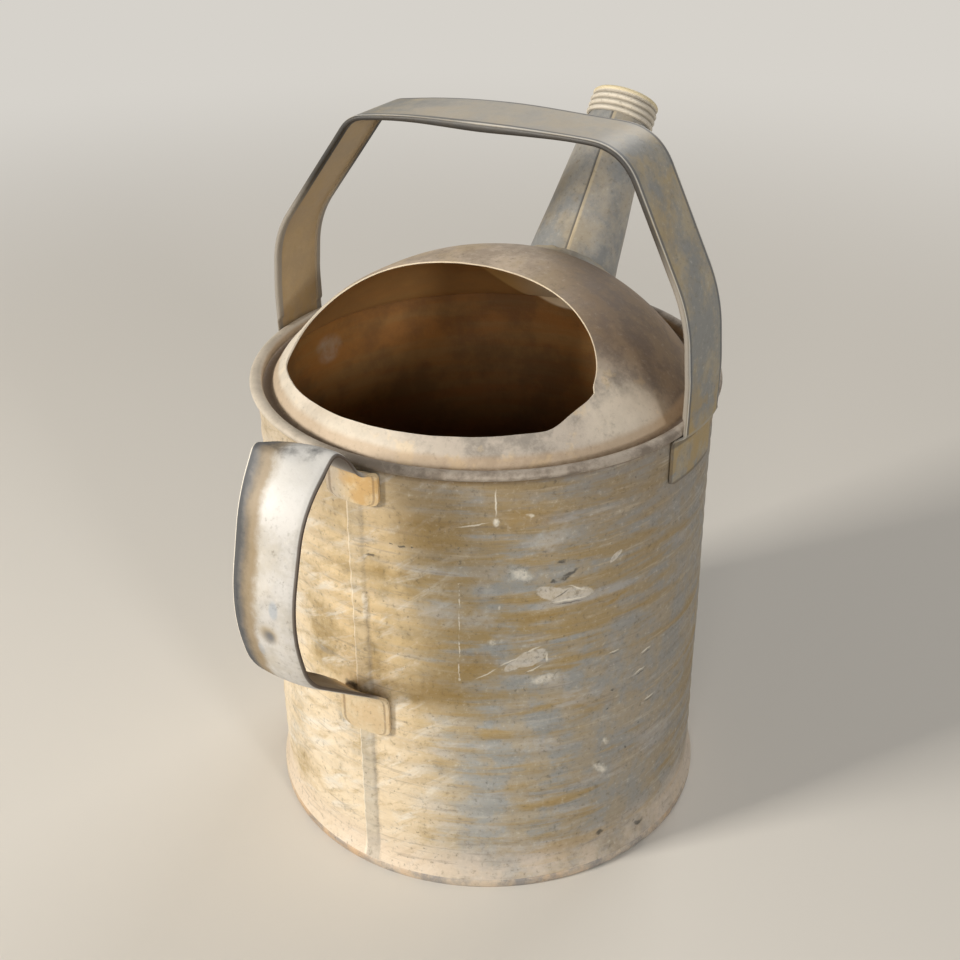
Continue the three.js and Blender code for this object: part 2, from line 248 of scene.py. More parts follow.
def floor_pan(material):
    """Raised floor and the seam folded up round the drum's foot."""
    outline = [
        (5, 8.8), (60, 8.8), (100.2, 8.8), (100.9, 8.6), (101.35, 8.0), (101.8, 6.5), (102.2, 5.0),
        (102.45, 3.0), (102.5, 0.9), (103.9, 0.9), (103.9, 4.4), (104.1, 4.55), (104.45, 4.5),
        (104.75, 4.2), (104.95, 3.5), (105.0, 2.6), (104.95, 1.6), (104.75, 0.8), (104.4, 0.2),
        (103.9, 0.0), (101.7, 0.0), (101.5, 2.0), (101.4, 5.0), (100.4, 7.2), (100.0, 8.0),
        (60, 8.0), (5, 8.0),
    ]
    angles = np.radians(np.arange(0, 360, 2))
    points = turned_points(outline, angles)
    return make_piece("floor_pan", "bottom_plate", points, material, closed=False)


# Top

def dome_height(x, y):
    """Height of the dome's outer face over a point seen from above."""
    radius = np.hypot(x, y)
    ahead = 0.5 * (x + np.hypot(x, BULGE_BLEND))
    bulge = FRONT_BULGE * ahead * np.maximum(0, 1 - radius / DOME_RADIUS)
    shoulder = SHOULDER_RISE * hump(radius, 92.5, 5.5) * smooth(-x, -10, 25)
    beside_mouth = smooth(x, -75, -35) * (1 - smooth(x, -20, 15))
    lift = LEFT_LIFT * smooth(y, 15, 55) * beside_mouth * np.maximum(0, 1 - (radius / DOME_RADIUS) ** 6)
    round_top = DOME_RISE * (1 - (radius / DOME_RADIUS) ** 3)
    return np.maximum(CHANNEL_FLOOR, CHANNEL_FLOOR + round_top + bulge + shoulder + lift)


def dome_normal(x, y):
    """Direction square to the dome's outer face."""
    step = 0.05
    slope_x = (dome_height(x + step, y) - dome_height(x - step, y)) / (2 * step)
    slope_y = (dome_height(x, y + step) - dome_height(x, y - step)) / (2 * step)
    normal = np.stack([-slope_x, -slope_y, np.ones_like(slope_x)], axis=-1)
    return normal / np.linalg.norm(normal, axis=-1, keepdims=True)


def in_mouth(x, y):
    """True inside the mouth's outline: round at the back, straight sides, an arch towards the spout."""
    y = y - MOUTH_SHIFT
    corner = -math.sqrt(MOUTH_RADIUS ** 2 - (MOUTH_HALF - MOUTH_CORNER) ** 2)
    arch = ((x - ARCH_START) / (ARCH_TIP - ARCH_START)) ** 2 + (y / MOUTH_HALF) ** 2 < 1
    side = MOUTH_HALF - MOUTH_CORNER * (ARCH_START - x) / (ARCH_START - corner)
    rear = (np.hypot(x, y) < MOUTH_RADIUS) & (np.abs(y) < side)
    return np.where(x > ARCH_START, arch, rear)


def reach_of(inside, angles):
    """How far each ray from the mouth's middle stays inside a shape."""
    low = np.zeros_like(angles)
    high = np.full_like(angles, 2 * FOOT_RADIUS)
    for _ in range(40):
        middle = (low + high) / 2
        within = inside(MOUTH_MIDDLE + middle * np.cos(angles), middle * np.sin(angles))
        low = np.where(within, middle, low)
        high = np.where(within, high, middle)
    return low


def mouth_edge(angles):
    """Reach of the mouth's edge: hand-cut, with soft corners and a torn notch on the right."""
    reach = reach_of(in_mouth, angles)
    soft = sum(np.roll(reach, shift) for shift in range(-3, 4)) / 7
    turn = np.degrees(angles)
    notch = TEAR * (smooth(turn, 250, 266) - smooth(turn, 267.4, 269.2))
    ragged = 0.2 * wobble(60 * np.cos(angles), 60 * np.sin(angles), 0 * angles, 12)
    return soft + notch + ragged


def rim_ring():
    """Outline of the channel, the rolled rim and the slot over the drum, as (radius, height)."""
    roll = np.radians(np.arange(180, -91, -18))
    bead_radius = RIM_MIDDLE + RIM_HALF_WIDE * np.cos(roll)
    bead = list(zip(bead_radius, RIM_LEVEL + RIM_HALF_HIGH * np.sin(roll)))
    channel = [(97.2, 212.85), (98.3, 212.7), (99.5, 212.8), (100.1, 213.3)]
    slot = [(102.5, 213.9), (102.5, 216.3), (101.1, 216.3)]
    skirt = [(101.1, 212.9), (100.6, 212.1), (100.0, 211.9), (96.8, 211.9)]
    return channel + bead + slot + skirt, len(channel + bead + slot)


def hood(material):
    """Stamped top: dome with its cut mouth, the channel inside the rim and the rim rolled over the drum."""
    angles = np.radians(np.arange(0, 360, 1.25))
    mouth = mouth_edge(angles)
    foot = reach_of(lambda x, y: np.hypot(x, y) < 0.992 * DOME_RADIUS, angles)
    shares = np.linspace(0, 1, 44)[:, None] ** 1.15
    reach = mouth + (foot - mouth) * shares
    x = MOUTH_MIDDLE + reach * np.cos(angles)
    y = reach * np.sin(angles)
    face = np.stack([x, y, dome_height(x, y)], axis=2)
    normal = dome_normal(x, y)
    dents = 0.5 * wobble(x, y, 0 * x, 45) * smooth(shares, 0, 0.25) * smooth(1 - shares, 0, 0.3)
    bent_tag = 0.8 * hump(np.degrees(angles), 268.5, 3) * (1 - smooth(shares, 0, 0.08))
    face = face + normal * (dents + bent_tag)[:, :, None]
    under = face - SHEET * normal
    inward = np.stack([np.cos(angles), np.sin(angles), 0 * angles], axis=1)
    lip_top = face[0] - 0.2 * normal[0] - 0.18 * inward
    lip_low = face[0] - 0.6 * normal[0] - 0.18 * inward
    ring, outer_count = rim_ring()
    edge = turned_points(ring, np.arctan2(y[-1], x[-1]))
    points = np.concatenate([lip_low[None], lip_top[None], face, edge, under[::-1]])
    rows = len(points)
    is_inside = np.zeros((rows, 1))
    is_inside[2 + len(face) + outer_count:] = 1
    cut_edge = np.zeros((rows, 1))
    cut_edge[:2] = 1
    fields = {"inside": is_inside, "cut_edge": cut_edge}
    top = make_piece("hood", "top_hood", points, material, fields=fields)
    bore_hole(top, material)
    return top


def bore_hole(top, material):
    """Cuts the spout's hole out of the dome."""
    turns = np.radians(np.arange(0, 360, 5))
    ends = np.array([[-SPOUT_ROOT], [SPOUT_ROOT]])
    bore = on_spout(spout_radius(ends) - SHEET - 0.5, turns, ends + 0 * turns)
    mesh = bpy.data.meshes.new("bore")
    count = len(turns)
    corners = (bore.reshape(-1, 3) + [AXIS_X, 0, 0]) * MM
    faces = [[i, (i + 1) % count, count + (i + 1) % count, count + i] for i in range(count)]
    faces += [list(range(count))[::-1], list(range(count, 2 * count))]
    mesh.from_pydata(corners.tolist(), [], faces)
    cutter = add_object("bore", mesh)
    cut = top.modifiers.new("bore", "BOOLEAN")
    cut.operation = "DIFFERENCE"
    cut.solver = "EXACT"
    cut.object = cutter
    bpy.context.view_layer.update()
    seen = top.evaluated_get(bpy.context.evaluated_depsgraph_get())
    bored = bpy.data.meshes.new_from_object(seen)
    top.modifiers.remove(cut)
    top.data = bored
    bpy.data.objects.remove(cutter)
    finish_piece(top, material)


# Spout

def spout_radius(along):
    return SPOUT_ROOT + (SPOUT_TIP - SPOUT_ROOT) * along / SPOUT_LENGTH


def on_spout(radius, turn, along):
    """Points round the spout's axis: turn 0 is its lower side and half a turn its upper side."""
    contact = DOME_RADIUS - SOLDER_LEG
    sine = math.sin(SPOUT_LIFT)
    cosine = math.cos(SPOUT_LIFT)
    side_x = radius * np.cos(turn)
    side_y = radius * np.sin(turn)
    x = contact - SPOUT_ROOT * sine + side_x * sine + along * cosine
    z = dome_height(contact, 0.0) + SPOUT_ROOT * cosine - side_x * cosine + along * sine
    x, y, z = np.broadcast_arrays(x, side_y, z)
    return np.stack([x, y, z], axis=-1)


def out_of_dome(radius, turn):
    """How far along the spout a line beside its axis comes out of the dome."""
    low = np.full(np.broadcast(radius, turn).shape, -2 * SPOUT_ROOT)
    high = -low
    for _ in range(40):
        middle = (low + high) / 2
        point = on_spout(radius, turn, middle)
        above = point[..., 2] > dome_height(point[..., 0], point[..., 1])
        high = np.where(above, middle, high)
        low = np.where(above, low, middle)
    return high


def spout(material):
    """Rolled cone with a lapped edge along its upper side, its foot trimmed to the dome."""
    lap_lines = np.array([-4, -3, -2.5, -2.2, -2.0, -1.5, 0, 2, 4, 6, 8]) / 19
    plain = np.radians(np.arange(0, 360, 3))
    plain = plain[(plain < LAP_TURN - 0.24) | (plain > LAP_TURN + 0.45)]
    turns = np.sort(np.concatenate([plain, LAP_TURN + lap_lines]))
    tip = SPOUT_LENGTH - GAP
    foot = out_of_dome(spout_radius(0.0), turns) + GAP
    foot_inside = out_of_dome(spout_radius(0.0) - SHEET, turns) + GAP
    along_out = foot + (tip - foot) * np.linspace(0, 1, 44)[:, None]
    along_in = foot_inside + (tip - foot_inside) * np.linspace(1, 0, 16)[:, None]
    along = np.concatenate([along_out, along_in])
    is_inside = np.concatenate([np.zeros(len(along_out)), np.ones(len(along_in))])[:, None]
    radius = spout_radius(along) - is_inside * SHEET
    across = radius * (turns - LAP_TURN)
    lap = smooth(across, -2.35, -2.0) * (1 - smooth(across, -0.6, 6))
    lap = lap * (1 - smooth(along, 79, 81)) * (1 - is_inside)
    dents = 0.25 * wobble(radius * np.cos(turns), radius * np.sin(turns), along, 24)
    dents = dents * smooth(along - foot, 4, 14) * (1 - smooth(along, 68, 80))
    points = on_spout(radius + LAP_RISE * lap + dents, turns, along)
    fields = {"inside": is_inside, "across": across}
    return make_piece("spout_cone", "spout", points, material, fields=fields)


def solder(material):
    """Hand-run solder round the corner between the spout and the dome."""
    turns = np.radians(np.arange(0, 360, 2.5))
    section = np.array([
        (-0.2, -0.4), (-0.1, 1.6), (-0.05, 2.9), (0.35, 2.75), (0.65, 2.1), (1.0, 1.55), (1.5, 1.05),
        (2.1, 0.65), (2.7, 0.35), (3.0, 0.05), (2.9, -0.35), (1.4, -0.5),
    ])
    lumps = 1 + 0.18 * wobble(30 * np.cos(turns), 30 * np.sin(turns), 0 * turns, 5)
    off = section[:, :1] * lumps
    lift = section[:, 1:] * lumps
    base = spout_radius(out_of_dome(spout_radius(0.0), turns))
    radius = base + off
    along = out_of_dome(radius, np.broadcast_to(turns, radius.shape)) + lift
    points = on_spout(radius, turns, along)
    return make_piece("solder_run", "spout_solder", points, material)


def collar(material):
    """Collar round the spout's tip: three rolled thread turns and a bead at the top."""
    foot = SPOUT_LENGTH - COLLAR_HEIGHT
    turns = np.radians(np.arange(0, 360, 3))
    face = spout_radius(foot) + GAP + COLLAR_WALL
    along_out = np.linspace(foot, SPOUT_LENGTH - 2.9, 40)
    wave = 0.5 + 0.5 * np.cos(FULL_TURN * ((along_out - foot) / THREAD_PITCH - 0.45))
    radius_out = face + THREAD_RISE * wave ** 0.8
    bead = np.linspace(-0.9, 1.35, 11)
    along_bead = SPOUT_LENGTH - 1.25 + 1.25 * np.sin(bead)
    radius_bead = face - 0.65 + 1.2 * np.cos(bead)
    along_in = np.linspace(SPOUT_LENGTH - 0.1, foot, 12)
    radius_in = spout_radius(along_in) + GAP
    along = np.concatenate([along_out, along_bead, along_in])[:, None]
    radius = np.concatenate([radius_out, radius_bead, radius_in])[:, None]
    wear = 0.12 * wobble(16 * np.cos(turns), 16 * np.sin(turns), along, 5)
    radius = radius + np.minimum(wear, 0)
    points = on_spout(radius, turns[None, :], along + 0 * turns)
    groove = np.concatenate([1 - wave, np.zeros(len(bead) + len(along_in))])[:, None]
    fields = {"groove": groove, "along": (along - foot) / COLLAR_HEIGHT}
    return make_piece("spout_thread", "spout_collar", points, material, fields=fields)


# Straps

def rounded_line(corners, count):
    """Evenly spaced points along a line through corners (a, b, inset), each rounded over its inset."""
    points = [np.array(corner[:2], float) for corner in corners]
    line = [points[0]]
    for before, corner, after, (_, _, inset) in zip(points, points[1:], points[2:], corners[1:]):
        start = corner + inset * (before - corner) / np.linalg.norm(before - corner)
        end = corner + inset * (after - corner) / np.linalg.norm(after - corner)
        for share in np.linspace(0, 1, 12):
            line.append((1 - share) ** 2 * start + 2 * share * (1 - share) * corner + share ** 2 * end)
    line.append(points[-1])
    line = np.array(line)
    lengths = np.linalg.norm(np.diff(line, axis=0), axis=1)
    keep = np.concatenate([[True], lengths > 1e-6])
    line = line[keep]
    run = np.concatenate([[0], np.cumsum(np.linalg.norm(np.diff(line, axis=0), axis=1))])
    even = np.linspace(0, run[-1], count)
    return np.stack([np.interp(even, run, line[:, 0]), np.interp(even, run, line[:, 1])], axis=1), even


def side_of(line):
    """Direction square to a line in its own plane, at each of its points."""
    ahead = np.gradient(line, axis=0)
    ahead = ahead / np.linalg.norm(ahead, axis=1, keepdims=True)
    return np.stack([-ahead[:, 1], ahead[:, 0]], axis=1)


def rounded_end(half, distance, radius):
    """Half width of a strap near an end whose corners are rounded."""
    near = np.clip(radius - distance, 0, radius)
    return half - radius + np.sqrt(radius ** 2 - near ** 2)


def bail_leg(side):
    return [
        (side * 103.1, 191.9, 0), (side * 103.1, 211.6, 1.2), (side * 106.55, 213.5, 1.2),
        (side * 106.55, 221, 1), (side * 105.64, 238, 4), (side * 103.4, 265.5 - 0.84 * side, 14),
    ]


def bail(material):
    """Rigid carrying strap: tabs on the wall, stepped out over the rim, hemmed from the rim upwards."""
    top = [(-72, 330.3, 15), (7, 332.3, 35), (58, 324.7, 7)]
    line, run = rounded_line(bail_leg(-1) + top + bail_leg(1)[::-1], 440)
    normal = side_of(line)
    y = line[:, :1]
    z = line[:, 1:]
    to_end = np.minimum(run, run[-1] - run)[:, None]
    hemmed = smooth(z, HEM_FOOT, HEM_FOOT + 2.4)
    tab = 1 - smooth(z, RIM_BOTTOM - 1, RIM_BOTTOM + 0.8)
    half = BAIL_HALF + (BAIL_TAB_HALF - BAIL_HALF) * tab
    half = rounded_end(half, to_end, 2.5)
    half = half - hemmed * (0.5 * hump(y, 10, 40) + 0.2 * wobble(y, z, 0 * z, 16))
    droop = HEM_DROOP * hump(y, -4, 52) * smooth(z, 300, 320)
    thick = STRAP_SHEET / 2
    flat_count = 13
    roll_count = 7
    roll = np.linspace(math.pi / 2, -math.pi / 2, roll_count)[None, :]
    flat = np.linspace(-1, 1, flat_count)[None, :]
    across_top = flat * (half - 1.2)
    height_top = thick - 0.45 * droop * smooth(-flat, 0.3, 1.0)
    hem = HEM_DEPTH * hemmed
    across_roll = half - 1.1 + 1.1 * np.cos(roll)
    height_roll = -hem / 2 + (thick + hem / 2) * np.sin(roll)
    across_hem = np.concatenate([half - HEM_WIDTH, half - HEM_WIDTH - 0.12], axis=1)
    height_hem = np.concatenate([-thick - hem, -thick - 0.05 * hem], axis=1)
    across_under = -flat[:, 1:-1:2] * (half - HEM_WIDTH - 0.6)
    height_under = -thick + 0 * across_under
    across_near = -np.concatenate([across_roll, across_hem], axis=1)[:, ::-1]
    height_far = np.concatenate([height_roll, height_hem], axis=1)
    near_share = np.array([0.7, 1.0, 1.0, 0.95, 0.88, 0.78, 0.66, 0.55, 0.45])
    height_near = height_far[:, ::-1] - droop * near_share
    across = np.concatenate([across_top, across_roll, across_hem, across_under, across_near], axis=1)
    height = np.concatenate([height_top, height_far, height_under, height_near], axis=1)
    bow = (1 - smooth(z, 214, 240)) / (2 * WALL_RADIUS)
    twist = 0.02 * hump(y, -30, 60) * smooth(z, 290, 320)
    height = height - bow * across ** 2 - twist * np.maximum(across, 0)
    points = np.stack([across, y + normal[:, :1] * height, z + normal[:, 1:] * height], axis=2)
    under = np.ones(across.shape[1])
    under[:flat_count] = 0
    under[flat_count:flat_count + roll_count] = np.linspace(0, 1, roll_count)
    under[-roll_count:] = np.linspace(1, 0, roll_count)
    fields = {"across": across / BAIL_HALF, "under": under[None, :], "to_end": np.minimum(to_end, 10)}
    return make_piece("carrying_strap", "bail_handle", points, material, False, fields)


def grip(material):
    """Strap grip at the back: tabs over the lock seam, two arms, a top bent more sharply on the left."""
    wall = WALL_RADIUS
    tab = [(-TAB_STAND, 196.8, 0), (-TAB_STAND, 211.5, 2.5)]
    right_bend = [
        (-wall - 12.5, 217, 4), (-wall - 19.5, 229.5, 5), (-wall - 28, 236.3, 5), (-wall - 51, 218.5, 14),
    ]
    left_bend = [
        (-wall - 10, 218, 4), (-wall - 20, 228.8, 5), (-wall - 40.5, 238.2, 4), (-wall - 52.5, 219.5, 12),
    ]
    below = [(-wall - 63.2, 174, 18), (-wall - 55, 142, 10), (-TAB_STAND, 100, 5), (-TAB_STAND, 80, 0)]
    right_line, run = rounded_line(tab + right_bend + below, 215)
    left_line, _ = rounded_line(tab + left_bend + below, 215)
    line = (right_line + left_line) / 2
    normal = side_of(line)
    share = np.linspace(-1, 1, 41)[None, :]
    share = np.sign(share) * (1 - (1 - np.abs(share)) ** 1.25)
    to_left = (share + 1) / 2
    x = right_line[:, :1] + (left_line[:, :1] - right_line[:, :1]) * to_left
    z = right_line[:, 1:] + (left_line[:, 1:] - right_line[:, 1:]) * to_left
    to_end = np.minimum(run, run[-1] - run)[:, None]
    free = smooth(-line[:, :1] - TAB_STAND, 2, 18)
    half = GRIP_TAB_HALF + (GRIP_HALF - GRIP_TAB_HALF) * free
    half = rounded_end(half, to_end, 4)
    across_face = share * (half + GRIP_LEFT * free * smooth(share, 0, 1))
    hug = SEAM_RISE / GRIP_TAB_HALF ** 2 + 1 / (2 * wall)
    upper = np.where(run[:, None] < run[-1] / 2, 1, -1)
    tray = 0.45 * smooth(np.abs(share), 0.78, 0.93) * smooth(to_end, 0, 2) + 0.25
    tab_shape = upper * (tray - hug * across_face ** 2)
    curl = GRIP_CURL * smooth(np.abs(share), 0.84, 1.0)
    grip_shape = GRIP_CROWN * share ** 2 + curl
    shape = tab_shape + (grip_shape - tab_shape) * free
    dimple_at = np.hypot(across_face + 1.8, z - 166.3)
    dimple = np.where(x < -wall - 50, 1.0 * hump(dimple_at, 0, 5.5), 0)
    dents = 0.35 * wobble(across_face, z, 0 * across_face, 16) * free * (1 - np.abs(share))
    shape = shape + dimple + np.maximum(dents, 0)
    thick = STRAP_SHEET / 2
    across = np.concatenate([across_face, across_face[:, ::-1]], axis=1)
    height = np.concatenate([shape - thick, shape[:, ::-1] + thick], axis=1)
    there_and_back = [np.concatenate([part, part[:, ::-1]], axis=1) for part in (x, z)]
    points = np.stack([
        there_and_back[0] + normal[:, :1] * height, across, there_and_back[1] + normal[:, 1:] * height,
    ], axis=2)
    inner = np.repeat([0.0, 1.0], share.shape[1])[None, :]
    side = np.concatenate([share, share[:, ::-1]], axis=1)
    fields = {"across": side, "inner": inner * free, "free": free}
    return make_piece("rear_grip", "rear_handle", points, material, False, fields)


# Materials

def colour(red, green, blue):
    """Linear colour from screen values of 0 to 255."""
    def linear(value):
        share = value / 255
        return share / 12.92 if share < 0.04045 else ((share + 0.055) / 1.055) ** 2.4
    return (linear(red), linear(green), linear(blue), 1.0)


BLUE_ZINC = colour(154, 153, 147)
GREY_ZINC = colour(162, 151, 131)
PALE_ZINC = colour(190, 182, 168)
DARK_ZINC = colour(119, 107, 94)
OCHRE = colour(158, 134, 84)
DEEP_OCHRE = colour(150, 121, 62)
TAN = colour(228, 203, 160)
CREAM = colour(236, 226, 208)
FOOT_CREAM = colour(210, 194, 176)
BROWN = colour(92, 70, 46)
RUST = colour(166, 114, 56)
# Painted shade for the low inside of the drum
LOW_INSIDE_SHADE = colour(40, 26, 14)
SOOT = colour(62, 60, 58)
# Chalky deposit colour; also used as a painted highlight on the grip's left edge
CHALK_AND_GLINT = colour(222, 216, 202)


class Paint:
    """Short names for the nodes of one material."""

    def __init__(self, name):
        self.material = bpy.data.materials.new(name)
        self.material.use_nodes = True
        self.tree = self.material.node_tree
        self.tree.nodes.clear()
        self.place = self.node("TexCoord").outputs["Object"]

    def node(self, kind, **settings):
        made = self.tree.nodes.new("ShaderNode" + kind)
        for name, value in settings.items():
            setattr(made, name, value)
        return made

    def put(self, socket, value):
        if isinstance(value, bpy.types.NodeSocket):
            self.tree.links.new(value, socket)
        else:
            socket.default_value = value

    def math(self, operation, first, second=0.0):
        made = self.node("Math", operation=operation)
        self.put(made.inputs[0], first)
        self.put(made.inputs[1], second)
        return made.outputs[0]

    def add(self, *values):
        total = values[0]
        for value in values[1:]:
            total = self.math("ADD", total, value)
        return total

    def times(self, first, second):
        return self.math("MULTIPLY", first, second)

    def ramp(self, value, start, end):
        made = self.node("MapRange", interpolation_type="SMOOTHSTEP")
        self.put(made.inputs["Value"], value)
        made.inputs["From Min"].default_value = start
        made.inputs["From Max"].default_value = end
        return made.outputs["Result"]

    def field(self, name):
        return self.node("Attribute", attribute_name=name).outputs["Fac"]

    def stretched(self, x, y, z):
        return self.vector("MULTIPLY", self.place, (x, y, z))

    def vector(self, operation, first, second):
        made = self.node("VectorMath", operation=operation)
        self.put(made.inputs[0], first)
        self.put(made.inputs[1], second)
        return made.outputs[0]

    def length(self, vector):
        made = self.node("VectorMath", operation="LENGTH")
        self.put(made.inputs[0], vector)
        return made.outputs["Value"]

    def parts(self, vector):
        """The three parts of a vector, turned from metres to millimetres."""
        made = self.node("SeparateXYZ")
        self.put(made.inputs[0], vector)
        return [self.times(part, 1 / MM) for part in made.outputs]

    def flat(self, first, second):
        made = self.node("CombineXYZ")
        self.put(made.inputs["X"], first)
        self.put(made.inputs["Y"], second)
        return made.outputs[0]

    def near_to(self, value, middle, outer, inner):
        """1 within the inner distance of the middle, 0 beyond the outer one."""
        return self.ramp(self.math("ABSOLUTE", self.add(value, -middle)), outer, inner)

    def noise(self, vector, scale, detail=4.0, roughness=0.55, distortion=0.0):
        made = self.node("TexNoise")
        self.put(made.inputs["Vector"], vector)
        made.inputs["Scale"].default_value = scale
        made.inputs["Detail"].default_value = detail
        made.inputs["Roughness"].default_value = roughness
        made.inputs["Distortion"].default_value = distortion
        return made.outputs["Fac"]

    def shaken(self, value, rough, reach):
        """A value moved to and fro over this reach by a noise."""
        return self.add(value, self.times(self.add(rough, -0.5), reach))

    def mix(self, factor, under, over):
        made = self.node("Mix", data_type="RGBA")
        self.put(made.inputs[0], factor)
        self.put(made.inputs[6], under)
        self.put(made.inputs[7], over)
        return made.outputs[2]

    def lay(self, under, tone, mask, share):
        """A tone over a colour, by this share where the mask is 1."""
        return self.mix(self.times(mask, share), under, tone)

    def blot(self, vector, centre, size, turn=0.0, edge=0.5):
        """1 inside an ellipse of this half size, easing to 0 over the edge's share of it."""
        made = self.node("Mapping", vector_type="TEXTURE")
        self.put(made.inputs["Vector"], vector)
        made.inputs["Location"].default_value = (*centre, 0)
        made.inputs["Rotation"].default_value = (0, 0, math.radians(turn))
        made.inputs["Scale"].default_value = (*size, 1)
        return self.ramp(self.length(made.outputs[0]), 1.0, 1.0 - edge)

    def done(self, base, roughness, metallic, bump, distance):
        shader = self.node("BsdfPrincipled")
        self.put(shader.inputs["Base Color"], base)
        self.put(shader.inputs["Roughness"], roughness)
        self.put(shader.inputs["Metallic"], metallic)
        relief = self.node("Bump")
        relief.inputs["Strength"].default_value = 0.6
        relief.inputs["Distance"].default_value = distance
        self.put(relief.inputs["Height"], bump)
        self.put(shader.inputs["Normal"], relief.outputs["Normal"])
        output = self.node("OutputMaterial")
        self.put(output.inputs["Surface"], shader.outputs["BSDF"])
        return self.material


# Marks on the drum: (azimuth in degrees from the nearest line, + to the right, height, half width,
# half height, turn)
NEAREST = math.radians(211.6)
CHALK_PATCHES = [
    (19.6, 156, 11.5, 3.4, -3), (15.2, 158, 8, 3.4, -20), (10.2, 126.6, 8, 4.2, 20),
    (6.8, 124, 6, 2.2, 27), (31.5, 169, 4, 1.5, 40),
]
CHALK_SMEARS = [
    (2, 194.5, 1.7, 2.4, 0), (9.7, 196.4, 2, 1.2, 0), (7.6, 169.5, 7, 3.6, -25), (2.7, 153.4, 0.9, 2.2, 0),
    (1.2, 135.9, 2.6, 2, 0), (13.5, 115, 8, 3.2, 4), (29.5, 57.5, 6.5, 2.4, -42), (31, 72, 2, 3.2, 20),
    (-30, 147, 1.6, 9, 0),
]
CHALK_LINES = [
    (19.5, 153.4, 10.9, 0.7, -1), (21.4, 158.6, 5.9, 0.5, -26), (10.4, 130.9, 5.2, 0.6, 20),
    (14.2, 125.9, 0.6, 3.1, 0), (10.9, 120.8, 5.4, 0.5, 23), (-0.4, 119.7, 6.8, 0.45, 30),
    (5.2, 125.6, 6, 0.5, 27), (43.2, 112.2, 4.5, 0.45, 9), (41.3, 102.6, 4.8, 0.45, 9.5),
    (45.4, 83.9, 4.9, 0.45, 1), (32.2, 120.1, 3.8, 0.4, 2), (-3.3, 193.1, 8.2, 0.5, 11),
    (2, 194.4, 1.8, 2.3, 0), (2, 203, 0.5, 8, 0),
]
DARK_LINES = [
    (17.3, 157, 5.3, 0.45, 27), (43.2, 111, 4.2, 0.4, 9), (41.3, 101.4, 4.4, 0.4, 9.5),
    (45.4, 82.8, 4.4, 0.4, 1), (32.2, 119.1, 3.4, 0.35, 2), (19.5, 152, 8.5, 0.4, -1),
]
SOOT_MARKS = [
    (19.3, 166.2, 5.5, 1.5, 24), (17.1, 172.9, 2.6, 1.3, -10), (15.5, 164, 2, 1, 0),
    (30.4, 18.9, 3.2, 1.6, 0), (44, 11.6, 4, 1.6, 0), (-19.7, 180, 2, 0.9, 0), (-17, 180.4, 1, 0.7, 0),
    (-22.4, 179.6, 0.8, 0.6, 0), (-27.6, 172.7, 4, 0.8, 8), (32.2, 99.7, 1.2, 0.8, 0),
    (37.8, 62.5, 1, 0.8, 0), (41.7, 73.2, 1.2, 0.8, 0), (30.9, 90.2, 1, 0.6, 0), (-35.6, 100.7, 5, 1.8, 0),
]
OCHRE_STAINS = [(-13, 110, 22, 13, 8), (-14, 187, 24, 13, 0), (-3, 124, 14, 8, 20), (10, 196, 20, 6, 0)]
SILVER_STAINS = [(-11, 150, 15, 10, 0), (-2, 148, 13, 6, 10), (14, 184, 16, 6, 14)]
OCHRE_FLECKS = [(31.9, 147.4, 7.9, 1.2, 11), (-17.7, 103.8, 6, 3, 0), (10.9, 123.5, 5, 1.6, 20)]
SCRATCHES = [
    (-6.4, 158.5, 0.4, 7.5, 0), (-6.5, 146, 0.35, 6.5, 0), (-6.65, 133.5, 0.35, 7.5, 0),
    (-6.8, 121.5, 0.4, 6, 0), (-6.4, 165, 0.8, 1, 0), (-6.8, 116.5, 0.9, 1.2, 0),
]


def round_the_can(paint):
    """Angle round the drum from the nearest line, distances right of it and before the axis, and height."""
    shifted = paint.vector("SUBTRACT", paint.place, (AXIS_X * MM, 0, 0))
    turn = paint.node("VectorRotate", rotation_type="Z_AXIS")
    paint.put(turn.inputs["Vector"], shifted)
    turn.inputs["Angle"].default_value = -NEAREST
    near, side, height = paint.parts(turn.outputs[0])
    return paint.math("ARCTAN2", side, near), side, near, height


def marks_mask(paint, vector, marks, edge):
    """Union of a list of marks."""
    total = None
    for azimuth, height, half_width, half_height, turn in marks:
        centre = (math.radians(azimuth) * WALL_RADIUS, height)
        mark = paint.blot(vector, centre, (half_width, half_height), turn, edge)
        total = mark if total is None else paint.math("MAXIMUM", total, mark)
    return total


def unrolled(paint, angle, height, shake):
    """Flat map of the drum's wall, with its lines shaken so that marks have ragged edges."""
    rough = paint.node("TexNoise")
    paint.put(rough.inputs["Vector"], paint.place)
    rough.inputs["Scale"].default_value = 260
    rough.inputs["Detail"].default_value = 4
    centred = paint.node("VectorMath", operation="SUBTRACT")
    paint.put(centred.inputs[0], rough.outputs["Color"])
    centred.inputs[1].default_value = (0.5, 0.5, 0.5)
    scaled = paint.node("VectorMath", operation="SCALE")
    paint.put(scaled.inputs[0], centred.outputs[0])
    scaled.inputs["Scale"].default_value = shake
    moved = paint.node("VectorMath", operation="ADD")
    paint.put(moved.inputs[0], paint.flat(paint.times(angle, WALL_RADIUS), height))
    paint.put(moved.inputs[1], scaled.outputs[0])
    flatten = paint.node("VectorMath", operation="MULTIPLY")
    paint.put(flatten.inputs[0], moved.outputs[0])
    flatten.inputs[1].default_value = (1, 1, 0)
    return flatten.outputs[0]


def rusty_inside_with_shade(paint, height):
    """Brown rusted metal with faint level tide lines, and painted shade darkening it towards the floor."""
    tide = paint.noise(paint.stretched(10, 10, 120), 1.0, 5.0, 0.6)
    patch = paint.noise(paint.place, 30, 6.0, 0.65)
    tone = paint.lay(RUST, OCHRE, paint.ramp(tide, 0.4, 0.62), 0.4)
    tone = paint.lay(tone, BROWN, paint.ramp(patch, 0.42, 0.62), 0.45)
    # Painted shade: darker towards the floor, deep inside the can.
    return paint.lay(tone, LOW_INSIDE_SHADE, paint.ramp(height, 205, 95), 0.94)


